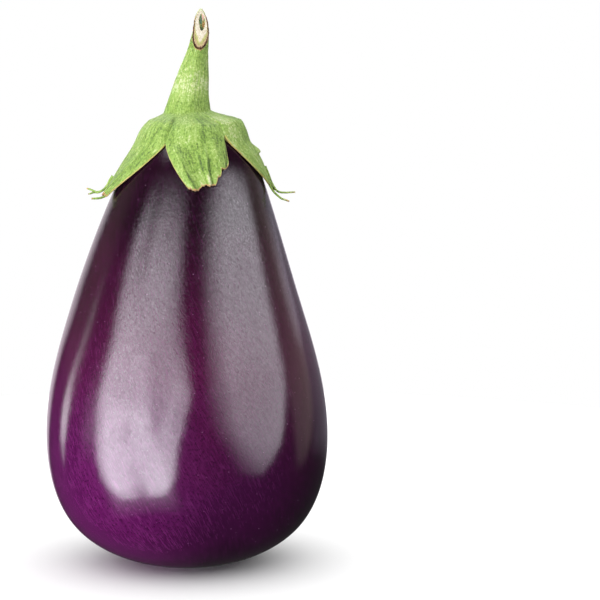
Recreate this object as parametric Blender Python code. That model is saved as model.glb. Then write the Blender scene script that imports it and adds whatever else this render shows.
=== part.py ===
"""Globe eggplant standing on its blossom end.

The berry carries a calyx of five torn lobes, which runs on into the stalk as one growth.
The stalk was cut on a slant, so its wood lies bare in the end.
Azimuths are in degrees from the front (-Y) towards +X, and lengths below are in millimetres.
"""
import math

import bmesh
import bpy
import numpy as np
from mathutils import Vector

MM = 0.001
GAP = 0.3                       # air between neighbouring solids

# Berry: radius and height, from the crown down to the edge of the resting flat
BERRY_OUTLINE = [
    (0.0, 158.6), (9.5, 157.0), (17.6, 151.2), (24.9, 138.3), (29.8, 125.6),
    (41.7, 89.9), (50.3, 47.85), (40.5, 13.0), (16.0, 0.0),
]
CROWN_DIRECTION = (1.0, 0.0)
BASE_DIRECTION = (-1.0, -0.2)
BERRY_SIDES = 56
BERRY_RINGS = 36
OUTLINE_SAMPLES = 600
NECK_LEAN = 2.6                 # how far the neck leans to +X at the height of the next line
NECK_LEAN_HEIGHT = 150.0
NECK_LEAN_START = 95.0
NECK_LEAN_POWER = 1.6
SWELLS = [(3, 0.35, 20.0), (5, 0.22, 75.0)]     # waves round the berry, depth, azimuth of a crest
SCAR_SIDES = 14
SCAR_RINGS = [(4.6, 0.0), (3.2, 0.55), (1.8, 0.9), (0.9, 0.75)]     # blossom scar: radius, height
SCAR_TIP = 0.55

# Calyx: arcs are distances along the berry's skin from its crown
COLLAR_ARC = 15.0               # where the calyx turns up into the stalk
COLLAR_RINGS = 2
SEAT_ARCS = [17.5, 14.0, 10.5, 7.0, 3.5]      # rings of the seat on the berry, under the collar
COLLAR_FULL_ARC = 13.5          # up to here the fleshy collar has its full height
COLLAR_FALL_ARC = 23.5          # where it has thinned to the blades
NOTCH_KNUCKLE = 0.72            # share of a lobe's knuckle height that is left at its notches
BLADE_EDGE = 0.75               # thickness at a lobe's margin
BLADE_MIDDLE = 1.05             # thickness along a lobe's middle
BLADE_ROUNDING = 0.5            # below 1, a blade thickens quickly from its margin
MARGIN_LIFT = 0.75              # share of a lobe's lift that its margins have
RIB_RISE = 0.45                 # share of the way down a lobe at which its ribs stand full
RIB_FADE = 0.45                 # share of their height that they lose by the tip
LOBE_ROWS = 9

# Each lobe runs from its own notch to the next lobe's. Corners are the ends of its torn tip,
# the tip is (share across, arc), and ribs are (share across, height, share of width).
LOBES = [
    dict(name="front", notch=-28.0, notch_arc=21.2, corners=(0.0, 33.0), columns=16, bow=1.0,
         tip=[(0.0, 37.8), (0.15, 38.7), (0.25, 38.3), (0.31, 36.7), (0.44, 36.3), (0.56, 36.9),
              (0.68, 35.6), (0.75, 33.4), (0.88, 31.8), (1.0, 30.0)],
         knuckle=1.9, lift=0.25, ribs=[(0.08, 0.5, 0.07), (0.36, 0.35, 0.1), (0.66, 0.6, 0.06)]),
    dict(name="right", notch=38.5, notch_arc=18.2, corners=(90.0, 97.0), columns=16, bow=1.15,
         tip=[(0.0, 40.6), (0.5, 41.6), (1.0, 40.0)],
         knuckle=2.75, lift=1.5, ribs=[(0.3, 0.4, 0.09), (0.6, 0.5, 0.1)]),
    dict(name="back_right", notch=122.0, notch_arc=21.0, corners=(150.0, 157.0), columns=12, bow=1.25,
         tip=[(0.0, 36.0), (0.45, 37.4), (1.0, 35.2)],
         knuckle=2.0, lift=0.7, ribs=[(0.5, 0.55, 0.12)]),
    dict(name="back_left", notch=190.0, notch_arc=20.4, corners=(218.0, 230.0), columns=12, bow=1.2,
         tip=[(0.0, 37.5), (0.3, 39.6), (0.6, 37.9), (1.0, 38.6)],
         knuckle=2.1, lift=0.5, ribs=[(0.28, 0.4, 0.1), (0.64, 0.5, 0.1)]),
    dict(name="left", notch=254.0, notch_arc=21.4, corners=(273.0, 284.0), columns=16, bow=1.25,
         tip=[(0.0, 41.5), (0.35, 43.4), (0.6, 42.0), (1.0, 43.0)],
         knuckle=2.6, lift=2.0, ribs=[(0.38, 0.3, 0.1), (0.7, 0.3, 0.08)]),
]

# Dried threads drawn out of the lobes' tips: lobe, first column, then (outwards, along the skin,
# sideways) from the tip
THREADS = [
    ("left", 1, [(0.5, 0.3, 0.7), (1.9, 0.8, 1.5), (4.2, 0.8, 1.9), (6.8, -0.9, 1.9)]),
    ("left", 5, [(0.4, 0.7, 0.2), (1.6, 1.6, 0.5), (3.9, 2.0, 0.8), (6.3, 1.6, 1.0)]),
    ("left", 12, [(0.3, 0.8, -0.2), (1.2, 1.8, -0.4), (3.0, 2.6, -0.2), (4.9, 3.0, 0.0)]),
    ("right", 3, [(0.4, 1.0, 0.2), (1.6, 2.6, 0.4), (4.0, 3.7, 0.3), (7.0, 3.6, 0.0)]),
    ("right", 10, [(0.1, 1.2, -0.3), (0.8, 3.4, -0.6), (2.5, 5.6, -0.6), (4.9, 7.4, -0.4)]),
    ("back_right", 5, [(0.4, 0.9, 0.1), (1.3, 2.3, 0.3), (2.9, 3.6, 0.9)]),
]
THREAD_COLUMNS = 2
THREAD_ROOT = 0.42              # radius where a thread has left its lobe
THREAD_TIP = 0.3
THREAD_STEPS = 7

# Stalk: height, centre and radius
STALK_FOOT = 161.5
STALK_CENTRE = [(160.0, 0.5), (166.0, 1.2), (174.6, 2.75), (183.2, 4.5), (188.0, 5.25), (199.0, 5.4)]
STALK_RADIUS = [(160.0, 8.3), (166.0, 6.85), (174.6, 5.3), (183.2, 3.5), (188.0, 3.05), (199.0, 2.8)]
STALK_RINGS = [164.0, 167.0, 170.0, 173.0, 176.0, 179.0, 181.5]
STALK_RIDGES = 5
STALK_RIDGE_DEPTH = 0.22
FLARE_ROWS = 6
FLARE_REDUCE_ROW = 3            # above this row the stalk's fewer sides take over
COLUMNS_PER_SIDE = 3            # columns of the calyx that one side of the stalk takes up
FLARE_PULL = 4.0                # how strongly the flare follows the collar and the stalk
SLOPE_STEP = 1.5                # length over which their slopes are taken

# Cut end: height on the stalk's axis, and slope up towards the back
CUT_HEIGHT = 190.3
CUT_SLOPE = 2.2
CUT_WALL_SHARES = (0.34, 0.67, 1.0)     # rings between the top one of the stalk and the cut
WOOD_RADIUS = [(170.0, 2.2), (184.0, 2.15), (199.0, 1.65)]
WOOD_FOOT = 176.0
WOOD_SIDES = 24
PITH_SIDES = 12
PITH_RADIUS = 0.9
PITH_FLOOR_RADIUS = 0.72
PITH_DEPTH = 0.9
PITH_SHIFT = 0.35               # the pith lies this far behind the axis

# Surfaces: linear red, green and blue, then roughness
SKIN_FINISH = ((0.052, 0.006, 0.045), 0.22)
CALYX_FINISH = ((0.34, 0.50, 0.13), 0.7)
WOOD_FINISH = ((0.85, 0.78, 0.60), 0.75)
SHARP_ANGLE = math.radians(42)


def through(knots, x):
    """Value at x on a smooth curve through (x, value) knots, held level past both ends."""
    xs = [k[0] for k in knots]
    ys = [k[1] for k in knots]
    if x <= xs[0]:
        return ys[0]
    if x >= xs[-1]:
        return ys[-1]
    last = len(xs) - 1
    slopes = [
        (ys[min(i + 1, last)] - ys[max(i - 1, 0)]) / (xs[min(i + 1, last)] - xs[max(i - 1, 0)])
        for i in range(last + 1)
    ]
    i = max(k for k in range(last) if xs[k] <= x)
    span = xs[i + 1] - xs[i]
    t = (x - xs[i]) / span
    return ((2 * t**3 - 3 * t**2 + 1) * ys[i] + (t**3 - 2 * t**2 + t) * span * slopes[i]
            + (3 * t**2 - 2 * t**3) * ys[i + 1] + (t**3 - t**2) * span * slopes[i + 1])


def straight(knots, x):
    """Value at x on straight runs between (x, value) knots."""
    return float(np.interp(x, [k[0] for k in knots], [k[1] for k in knots]))


def smooth_step(x, start, end):
    t = min(max((x - start) / (end - start), 0.0), 1.0)
    return t * t * (3 - 2 * t)


def natural_curve(points, first, last, count):
    """Points on a curve of even bend through the given ones, with set directions at its ends."""
    p = np.array(points, dtype=float)
    chords = np.hypot(*np.diff(p, axis=0).T)
    stations = np.concatenate([[0.0], np.cumsum(chords)])
    size = len(p)
    system = np.eye(size)
    known = np.zeros((size, 2))
    known[0] = np.array(first) / math.hypot(*first)
    known[-1] = np.array(last) / math.hypot(*last)
    for i in range(1, size - 1):
        before, after = chords[i - 1], chords[i]
        system[i, i - 1:i + 2] = after, 2 * (before + after), before
        known[i] = 3 * (after * (p[i] - p[i - 1]) / before + before * (p[i + 1] - p[i]) / after)
    tangents = np.linalg.solve(system, known)
    curve = []
    for q in np.linspace(0, stations[-1], count):
        i = min(int(np.searchsorted(stations, q, side="right")) - 1, size - 2)
        u = (q - stations[i]) / chords[i]
        curve.append((2 * u**3 - 3 * u**2 + 1) * p[i] + (u**3 - 2 * u**2 + u) * chords[i] * tangents[i]
                     + (3 * u**2 - 2 * u**3) * p[i + 1] + (u**3 - u**2) * chords[i] * tangents[i + 1])
    return np.array(curve)


class Skin:
    """The berry's surface, found by azimuth, arc from the crown and height above the skin."""

    def __init__(self):
        self.outline = natural_curve(BERRY_OUTLINE, CROWN_DIRECTION, BASE_DIRECTION, OUTLINE_SAMPLES)
        steps = np.hypot(*np.diff(self.outline, axis=0).T)
        self.arcs = np.concatenate([[0.0], np.cumsum(steps)])
        along = np.gradient(self.outline, self.arcs, axis=0)
        self.normals = np.stack([-along[:, 1], along[:, 0]], axis=1)
        self.normals /= np.hypot(*self.normals.T)[:, None]
        self.length = float(self.arcs[-1])

    def lean(self, height):
        rise = max(height - NECK_LEAN_START, 0.0) / (NECK_LEAN_HEIGHT - NECK_LEAN_START)
        return NECK_LEAN * rise**NECK_LEAN_POWER

    def swell(self, azimuth, height):
        fade = math.sin(math.pi * min(max(height / NECK_LEAN_HEIGHT, 0.0), 1.0))**2
        return fade * sum(
            depth * math.cos(math.radians(waves * (azimuth - crest))) for waves, depth, crest in SWELLS)

    def point(self, azimuth, arc, height=0.0):
        radius, level = (float(np.interp(arc, self.arcs, self.outline[:, k])) for k in (0, 1))
        out, up = (float(np.interp(arc, self.arcs, self.normals[:, k])) for k in (0, 1))
        radius += out * height + self.swell(azimuth, level)
        turn = math.radians(azimuth)
        centre = self.lean(level)
        return Vector((centre + radius * math.sin(turn), -radius * math.cos(turn), level + up * height))


SKIN = Skin()


def add_ring(mesh, points):
    return [mesh.verts.new(Vector(p) * MM) for p in points]


def join_rings(mesh, fine, coarse):
    """Triangles between two closed rings. The first has as many points as the second, or a multiple."""
    share = len(fine) // len(coarse)
    for i, near in enumerate(coarse):
        following = coarse[(i + 1) % len(coarse)]
        for k in range(share):
            a = fine[i * share + k]
            b = fine[(i * share + k + 1) % len(fine)]
            mesh.faces.new((a, b, near if k < (share + 1) // 2 else following))
        middle = fine[(i * share + (share + 1) // 2) % len(fine)]
        mesh.faces.new((near, middle, following))


def close_ring(mesh, ring, point):
    tip = mesh.verts.new(Vector(point) * MM)
    for i, vertex in enumerate(ring):
        mesh.faces.new((vertex, ring[(i + 1) % len(ring)], tip))


def split_quad(mesh, a, b, c, d):
    """Two triangles, always across the same corners, so that a blade's faces stay parallel."""
    mesh.faces.new((a, b, c))
    mesh.faces.new((a, c, d))


def finish_object(name, mesh, material):
    bmesh.ops.recalc_face_normals(mesh, faces=mesh.faces)
    data = bpy.data.meshes.new(name)
    mesh.to_mesh(data)
    mesh.free()
    data.shade_smooth()
    data.set_sharp_from_angle(angle=SHARP_ANGLE)
    data.materials.append(material)
    piece = bpy.data.objects.new(name, data)
    bpy.context.scene.collection.objects.link(piece)
    return piece


def make_material(name, finish):
    """A surface without metal, of one colour and roughness."""
    colour, roughness = finish
    material = bpy.data.materials.new(name)
    material.use_nodes = True
    shader = material.node_tree.nodes["Principled BSDF"]
    shader.inputs["Base Color"].default_value = (*colour, 1.0)
    shader.inputs["Roughness"].default_value = roughness
    shader.inputs["Metallic"].default_value = 0.0
    material.diffuse_color = (*colour, 1.0)
    return material


def circle(sides, radius, height, centre=(0.0, 0.0)):
    turns = (2 * math.pi * k / sides for k in range(sides))
    return [(centre[0] + radius * math.sin(t), centre[1] - radius * math.cos(t), height) for t in turns]


def build_berry(material):
    """The glossy berry, closed at its crown and dished a little at the blossom scar."""
    mesh = bmesh.new()
    turns = [360.0 * k / BERRY_SIDES for k in range(BERRY_SIDES)]
    rings = []
    for k in range(1, BERRY_RINGS + 1):
        arc = SKIN.length * k / BERRY_RINGS
        rings.append(add_ring(mesh, [SKIN.point(turn, arc) for turn in turns]))
    close_ring(mesh, rings[0], SKIN.point(0.0, 0.0))
    for upper, lower in zip(rings, rings[1:]):
        join_rings(mesh, upper, lower)
    inner = rings[-1]
    for radius, height in SCAR_RINGS:
        ring = add_ring(mesh, circle(SCAR_SIDES, radius, height))
        join_rings(mesh, inner, ring)
        inner = ring
    close_ring(mesh, inner, (0.0, 0.0, SCAR_TIP))
    return finish_object("fruit", mesh, material)


def lobe_span(index):
    """A lobe with the azimuth and arc of both its notches."""
    lobe = LOBES[index]
    following = LOBES[(index + 1) % len(LOBES)]
    end = following["notch"] + (360.0 if index + 1 == len(LOBES) else 0.0)
    return lobe, (lobe["notch"], lobe["notch_arc"]), (end, following["notch_arc"])


def lobe_place(index, across, down):
    """Azimuth and arc of a place in a lobe, from its root (down 0) to its torn tip (down 1)."""
    lobe, (start, start_arc), (end, end_arc) = lobe_span(index)
    narrowing = down**lobe["bow"]
    left = start + (lobe["corners"][0] - start) * narrowing
    right = end + (lobe["corners"][1] - end) * narrowing
    root_arc = start_arc + (end_arc - start_arc) * across
    arc = root_arc + (straight(lobe["tip"], across) - root_arc) * down
    return left + (right - left) * across, arc


def collar_height(index, across, arc):
    """Height of the fleshy collar above the blades, highest over the middle of each lobe."""
    share = NOTCH_KNUCKLE + (1 - NOTCH_KNUCKLE) * math.sin(math.pi * across)
    return LOBES[index]["knuckle"] * share * (1 - smooth_step(arc, COLLAR_FULL_ARC, COLLAR_FALL_ARC))


def lobe_heights(index, across, down, arc):
    """Heights above the skin of a lobe's underside and of its outer face."""
    lobe = LOBES[index]
    middle = math.sin(math.pi * across)
    body = middle**BLADE_ROUNDING
    under = GAP + lobe["lift"] * down**2 * (MARGIN_LIFT + (1 - MARGIN_LIFT) * middle)
    blade = BLADE_EDGE + (BLADE_MIDDLE - BLADE_EDGE) * body
    ribs = sum(height * math.exp(-((across - place) / width)**2) for place, height, width in lobe["ribs"])
    ribs *= smooth_step(down, 0.0, RIB_RISE) * (1 - RIB_FADE * down)
    return under, under + blade + ribs * body + collar_height(index, across, arc)


def root_columns():
    """Each column round the calyx as its lobe and its share across that lobe."""
    return [(index, k / lobe["columns"]) for index, lobe in enumerate(LOBES) for k in range(lobe["columns"])]


def collar_point(index, across, arc):
    azimuth = lobe_place(index, across, 0.0)[0]
    outer = lobe_heights(index, across, 0.0, arc)[1]
    return SKIN.point(azimuth, arc, outer)


def stalk_point(azimuth, height):
    """A point on the stalk's surface."""
    ridge = STALK_RIDGE_DEPTH * math.cos(math.radians(STALK_RIDGES * (azimuth - LOBES[0]["corners"][0])))
    radius = through(STALK_RADIUS, height) + ridge * (1 - smooth_step(height, STALK_FOOT, CUT_HEIGHT))
    turn = math.radians(azimuth)
    return Vector((through(STALK_CENTRE, height) + radius * math.sin(turn), -radius * math.cos(turn), height))


def flare_point(index, across, share):
    """A point on the flare between the collar (share 0) and the stalk's foot (share 1)."""
    azimuth = lobe_place(index, across, 0.0)[0]
    start = collar_point(index, across, COLLAR_ARC)
    leave = (start - collar_point(index, across, COLLAR_ARC + SLOPE_STEP)).normalized() * FLARE_PULL
    end = stalk_point(azimuth, STALK_FOOT)
    arrive = (stalk_point(azimuth, STALK_FOOT + SLOPE_STEP) - end).normalized() * FLARE_PULL
    t = share
    return ((2 * t**3 - 3 * t**2 + 1) * start + (t**3 - 2 * t**2 + t) * leave
            + (3 * t**2 - 2 * t**3) * end + (t**3 - t**2) * arrive)


def thread_path(index, across, start, offsets):
    """Points along a thread, set out from its root in the lobe's own directions."""
    azimuth, arc = lobe_place(index, across, 1.0)
    foot = SKIN.point(azimuth, arc)
    outwards = (SKIN.point(azimuth, arc, 1.0) - foot).normalized()
    along = (SKIN.point(azimuth, arc + 1.0) - foot).normalized()
    sideways = outwards.cross(along)
    knots = [start] + [start + outwards * a + along * b + sideways * c for a, b, c in offsets]
    shares = [k / THREAD_STEPS * (len(knots) - 1) for k in range(THREAD_STEPS + 1)]
    return [Vector([through(list(enumerate(p[axis] for p in knots)), share) for axis in range(3)])
            for share in shares]


def grow_thread(mesh, index, across, root, offsets):
    """A tapering thread drawn out of part of a lobe's tip, carrying that part's section along."""
    start = sum((v.co for v in root), Vector()) / len(root) / MM
    path = thread_path(index, across, start, offsets)
    tangent = (path[1] - path[0]).normalized()
    spokes = [v.co / MM - start for v in root]
    ring = root
    for k in range(1, THREAD_STEPS):
        turned = (path[k + 1] - path[k - 1]).normalized()
        turn = tangent.rotation_difference(turned)
        tangent = turned
        spokes = [turn @ spoke for spoke in spokes]
        spokes = [(spoke - tangent * spoke.dot(tangent)).normalized() for spoke in spokes]
        radius = THREAD_ROOT + (THREAD_TIP - THREAD_ROOT) * k / THREAD_STEPS
        following = add_ring(mesh, [path[k] + spoke * radius for spoke in spokes])
        join_rings(mesh, ring, following)
        ring = following
    close_ring(mesh, ring, path[-1])


def build_lobe(mesh, index, outer_root, inner_root):
    """One lobe's two faces, its margins and its torn tip, grown from slices of the root rings."""
    columns = LOBES[index]["columns"]
    outer_rows = [outer_root]
    inner_rows = [inner_root]
    for row in range(1, LOBE_ROWS + 1):
        down = row / LOBE_ROWS
        outer_row = []
        inner_row = []
        for k in range(columns + 1):
            azimuth, arc = lobe_place(index, k / columns, down)
            under, over = lobe_heights(index, k / columns, down, arc)
            outer_row.append(mesh.verts.new(SKIN.point(azimuth, arc, over) * MM))
            inner_row.append(mesh.verts.new(SKIN.point(azimuth, arc, under) * MM))
        outer_rows.append(outer_row)
        inner_rows.append(inner_row)
    for row in range(LOBE_ROWS):
        for k in range(columns):
            for rows in (outer_rows, inner_rows):
                split_quad(mesh, rows[row][k], rows[row][k + 1], rows[row + 1][k + 1], rows[row + 1][k])
        for k in (0, columns):
            split_quad(mesh, outer_rows[row][k], outer_rows[row + 1][k],
                       inner_rows[row + 1][k], inner_rows[row][k])
    threads = {first: offsets for name, first, offsets in THREADS if name == LOBES[index]["name"]}
    k = 0
    while k < columns:
        step = THREAD_COLUMNS if k in threads else 1
        outer_edge = outer_rows[-1][k:k + step + 1]
        inner_edge = inner_rows[-1][k:k + step + 1]
        if k in threads:
            grow_thread(mesh, index, k / columns, outer_edge + inner_edge[::-1], threads[k])
        else:
            split_quad(mesh, *outer_edge, *inner_edge[::-1])
        k += step


def build_lobes(mesh, outer_root, inner_root):
    start = 0
    for index, lobe in enumerate(LOBES):
        picks = [(start + k) % len(outer_root) for k in range(lobe["columns"] + 1)]
        build_lobe(mesh, index, [outer_root[p] for p in picks], [inner_root[p] for p in picks])
        start += lobe["columns"]


def build_underside(mesh, columns, inner_root):
    """The calyx's seat on the berry, from the lobes' roots to the crown."""
    ring = inner_root
    for arc in SEAT_ARCS:
        picked = columns if arc > COLLAR_ARC else columns[::COLUMNS_PER_SIDE]
        points = [SKIN.point(lobe_place(index, across, 0.0)[0], arc, GAP) for index, across in picked]
        following = add_ring(mesh, points)
        join_rings(mesh, ring, following)
        ring = following
    close_ring(mesh, ring, SKIN.point(0.0, 0.0, GAP))


def cut_level(depth):
    """Height of the slanting cut, at a depth behind the stalk's axis."""
    return CUT_HEIGHT + CUT_SLOPE * depth


def build_cut_end(mesh, azimuths, ring):
    """The stalk's top: its wall up to the cut, the cut rim and the blind hole that holds the wood."""
    depths = [stalk_point(turn, CUT_HEIGHT).y for turn in azimuths]
    for share in CUT_WALL_SHARES:
        levels = [STALK_RINGS[-1] + (cut_level(depth) - STALK_RINGS[-1]) * share for depth in depths]
        following = add_ring(mesh, [stalk_point(*place) for place in zip(azimuths, levels)])
        join_rings(mesh, ring, following)
        ring = following
    for points in (wood_ring(azimuths, GAP, None), wood_ring(azimuths, GAP, WOOD_FOOT - GAP)):
        following = add_ring(mesh, points)
        join_rings(mesh, ring, following)
        ring = following
    close_ring(mesh, ring, (through(STALK_CENTRE, WOOD_FOOT), 0.0, WOOD_FOOT - GAP))


def wood_ring(azimuths, clearance, level):
    """A ring round the wood at one level, or on the cut where the level is None."""
    points = []
    for azimuth in azimuths:
        turn = math.radians(azimuth)
        radius = through(WOOD_RADIUS, CUT_HEIGHT if level is None else level) + clearance
        height = cut_level(-radius * math.cos(turn)) if level is None else level
        centre = through(STALK_CENTRE, height)
        points.append((centre + radius * math.sin(turn), -radius * math.cos(turn), height))
    return points


def build_calyx(material):
    """The calyx and the stalk as one growth, down to the lobes' torn tips and threads."""
    mesh = bmesh.new()
    columns = root_columns()
    roots = [lobe_place(index, across, 0.0) for index, across in columns]
    heights = [lobe_heights(index, across, 0.0, arc) for (index, across), (_, arc) in zip(columns, roots)]
    outer_root = add_ring(mesh, [SKIN.point(*root, both[1]) for root, both in zip(roots, heights)])
    inner_root = add_ring(mesh, [SKIN.point(*root, both[0]) for root, both in zip(roots, heights)])
    build_lobes(mesh, outer_root, inner_root)
    build_underside(mesh, columns, inner_root)

    ring = outer_root
    for row in range(1, COLLAR_RINGS + 1):
        points = [collar_point(index, across, root[1] + (COLLAR_ARC - root[1]) * row / COLLAR_RINGS)
                  for (index, across), root in zip(columns, roots)]
        following = add_ring(mesh, points)
        join_rings(mesh, ring, following)
        ring = following
    for row in range(1, FLARE_ROWS + 1):
        picked = columns if row <= FLARE_REDUCE_ROW else columns[::COLUMNS_PER_SIDE]
        following = add_ring(mesh, [flare_point(*column, row / FLARE_ROWS) for column in picked])
        join_rings(mesh, ring, following)
        ring = following
    azimuths = [lobe_place(index, across, 0.0)[0] for index, across in columns[::COLUMNS_PER_SIDE]]
    for height in STALK_RINGS:
        following = add_ring(mesh, [stalk_point(turn, height) for turn in azimuths])
        join_rings(mesh, ring, following)
        ring = following
    build_cut_end(mesh, azimuths, ring)
    return finish_object("calyx_and_stem", mesh, material)


def build_wood(material):
    """The stalk's wood, bare on the slanting cut, with its pith sunk in the middle."""
    mesh = bmesh.new()
    azimuths = [360.0 * k / WOOD_SIDES for k in range(WOOD_SIDES)]
    foot = add_ring(mesh, wood_ring(azimuths, 0.0, WOOD_FOOT))
    close_ring(mesh, foot, (through(STALK_CENTRE, WOOD_FOOT), 0.0, WOOD_FOOT))
    rim = add_ring(mesh, wood_ring(azimuths, 0.0, None))
    join_rings(mesh, foot, rim)
    ring = rim
    for radius, depth in ((PITH_RADIUS, 0.0), (PITH_FLOOR_RADIUS, PITH_DEPTH)):
        points = []
        for x, y, _ in circle(PITH_SIDES, radius, 0.0, (0.0, PITH_SHIFT)):
            level = cut_level(y)
            points.append((through(STALK_CENTRE, level) + x, y, level - depth))
        following = add_ring(mesh, points)
        join_rings(mesh, ring, following)
        ring = following
    level = cut_level(PITH_SHIFT)
    close_ring(mesh, ring, (through(STALK_CENTRE, level), PITH_SHIFT, level - PITH_DEPTH))
    return finish_object("stem_wood", mesh, material)


def clear_scene():
    for item in list(bpy.data.objects):
        bpy.data.objects.remove(item, do_unlink=True)


def main():
    clear_scene()
    build_berry(make_material("eggplant_skin", SKIN_FINISH))
    build_calyx(make_material("green_calyx", CALYX_FINISH))
    build_wood(make_material("cut_wood", WOOD_FINISH))


main()
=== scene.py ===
import math

import bmesh
import bpy
import numpy as np
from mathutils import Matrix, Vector, noise


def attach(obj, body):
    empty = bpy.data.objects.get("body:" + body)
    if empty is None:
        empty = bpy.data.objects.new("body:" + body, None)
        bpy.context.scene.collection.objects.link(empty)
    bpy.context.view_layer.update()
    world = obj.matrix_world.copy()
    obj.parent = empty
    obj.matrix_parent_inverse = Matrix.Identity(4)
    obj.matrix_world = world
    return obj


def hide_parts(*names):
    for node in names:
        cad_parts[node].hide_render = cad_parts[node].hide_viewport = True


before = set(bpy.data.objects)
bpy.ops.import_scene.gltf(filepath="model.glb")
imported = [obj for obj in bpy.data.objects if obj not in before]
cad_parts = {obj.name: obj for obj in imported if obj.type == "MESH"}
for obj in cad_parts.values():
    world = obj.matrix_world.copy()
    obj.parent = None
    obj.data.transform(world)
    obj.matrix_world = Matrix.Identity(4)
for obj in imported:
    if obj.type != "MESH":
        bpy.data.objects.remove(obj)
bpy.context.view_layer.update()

mm = 0.001
scene = bpy.context.scene

# The fruit stands on its blossom end. Azimuths are degrees from the front (-Y) towards +X, lengths are
# millimetres, and an arc is a distance along the skin from the crown.

fruit = {
    # radius and height, from the crown to the edge of the patch it rests on
    "outline": [(0.0, 158.6), (9.5, 157.0), (17.6, 151.2), (24.9, 138.3), (29.8, 125.6), (41.7, 89.9),
                (50.3, 47.85), (40.5, 13.0), (16.0, 0.0)],
    "crownDirection": (1.0, 0.0), "baseDirection": (-1.0, -0.2), "outlineSamples": 900,
    "scar": [(10.0, 0.0), (4.6, 0.05), (3.2, 0.55), (1.8, 0.9), (0.9, 0.75), (0.0, 0.55)],
    "neckLean": 2.6, "leanStart": 95.0, "leanHeight": 150.0, "leanPower": 1.6,
    "swells": [(3, 0.35, 20.0), (5, 0.22, 75.0)],   # waves round the fruit, depth, azimuth of a crest
    "sides": 340, "rings": 270, "meanRadius": 50.0,
    # Broad hollows that run lengthwise, and small dimples. Raised is the noise that leaves the outline as
    # it is, so above the noise's mean of 0.5 all of the relief lies inside it.
    "fluteDepth": 0.2, "fluteWidth": 15.0, "fluteLength": 70.0, "fluteRaised": 1.5,
    "dimpleDepth": 0.04, "dimpleSize": 5.0, "dimpleRaised": 0.5,
}


# A smooth curve of even bend through the points, with set directions at its ends
def naturalCurve(points, first, last, count):
    p = np.array(points, dtype=float)
    chords = np.hypot(*np.diff(p, axis=0).T)
    stations = np.concatenate([[0.0], np.cumsum(chords)])
    size = len(p)
    system = np.eye(size)
    known = np.zeros((size, 2))
    known[0] = np.array(first) / math.hypot(*first)
    known[-1] = np.array(last) / math.hypot(*last)
    for i in range(1, size - 1):
        before, after = chords[i - 1], chords[i]
        system[i, i - 1:i + 2] = after, 2 * (before + after), before
        known[i] = 3 * (after * (p[i] - p[i - 1]) / before + before * (p[i + 1] - p[i]) / after)
    tangents = np.linalg.solve(system, known)
    curve = []
    for q in np.linspace(0, stations[-1], count):
        i = min(int(np.searchsorted(stations, q, side="right")) - 1, size - 2)
        u = (q - stations[i]) / chords[i]
        curve.append(bent(u, p[i], p[i + 1], chords[i] * tangents[i], chords[i] * tangents[i + 1]))
    return np.array(curve)


# A place at share t of a bend between two points with these pulls at its ends
def bent(t, start, end, startPull, endPull):
    return ((2 * t**3 - 3 * t**2 + 1) * start + (t**3 - 2 * t**2 + t) * startPull
            + (3 * t**2 - 2 * t**3) * end + (t**3 - t**2) * endPull)


outline = naturalCurve(fruit["outline"], fruit["crownDirection"], fruit["baseDirection"],
                       fruit["outlineSamples"])
arcs = np.concatenate([[0.0], np.cumsum(np.hypot(*np.diff(outline, axis=0).T))])
alongOutline = np.gradient(outline, arcs, axis=0)
outNormals = np.stack([-alongOutline[:, 1], alongOutline[:, 0]], axis=1)
outNormals /= np.hypot(*outNormals.T)[:, None]


# Points at azimuths and arcs, at heights above the skin
def skinPoint(azimuth, arc, height):
    azimuth, arc, height = np.broadcast_arrays(azimuth, arc, height)
    radius, level = (np.interp(arc, arcs, outline[:, k]) for k in (0, 1))
    out, up = (np.interp(arc, arcs, outNormals[:, k]) for k in (0, 1))
    fade = np.sin(np.pi * np.clip(level / fruit["leanHeight"], 0, 1))**2
    swell = sum(depth * np.cos(np.radians(waves * (azimuth - crest)))
                for waves, depth, crest in fruit["swells"])
    rise = (level - fruit["leanStart"]) / (fruit["leanHeight"] - fruit["leanStart"])
    radius = radius + out * height + fade * swell
    x = fruit["neckLean"] * np.clip(rise, 0, None)**fruit["leanPower"] + radius * np.sin(np.radians(azimuth))
    return np.stack([x, -radius * np.cos(np.radians(azimuth)), level + up * height], axis=-1)


def smoothStep(x, start, end):
    t = np.clip((x - start) / (end - start), 0.0, 1.0)
    return t * t * (3 - 2 * t)


# A rounded ridge of height 1 and this half width
def ridge(x, width):
    return np.exp(-(x / width)**2)


# A smooth curve through (x, value) knots, level past both ends
def through(knots, x):
    xs, ys = (np.array([k[i] for k in knots], dtype=float) for i in (0, 1))
    spans, last = np.diff(xs), len(xs) - 1
    neighbours = [(max(i - 1, 0), min(i + 1, last)) for i in range(len(xs))]
    slopes = np.array([(ys[after] - ys[before]) / (xs[after] - xs[before]) for before, after in neighbours])
    x = np.clip(x, xs[0], xs[-1])
    i = np.clip(np.searchsorted(xs, x, side="right") - 1, 0, last - 1)
    return bent((x - xs[i]) / spans[i], ys[i], ys[i + 1], spans[i] * slopes[i], spans[i] * slopes[i + 1])


def straight(knots, x):
    return np.interp(x, [k[0] for k in knots], [k[1] for k in knots])


# An sRGB hex code as linear red, green, blue and alpha
def colour(code):
    parts = [int(code[i:i + 2], 16) / 255 for i in (1, 3, 5)]
    return (*[p / 12.92 if p <= 0.04045 else ((p + 0.055) / 1.055)**2.4 for p in parts], 1.0)


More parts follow.
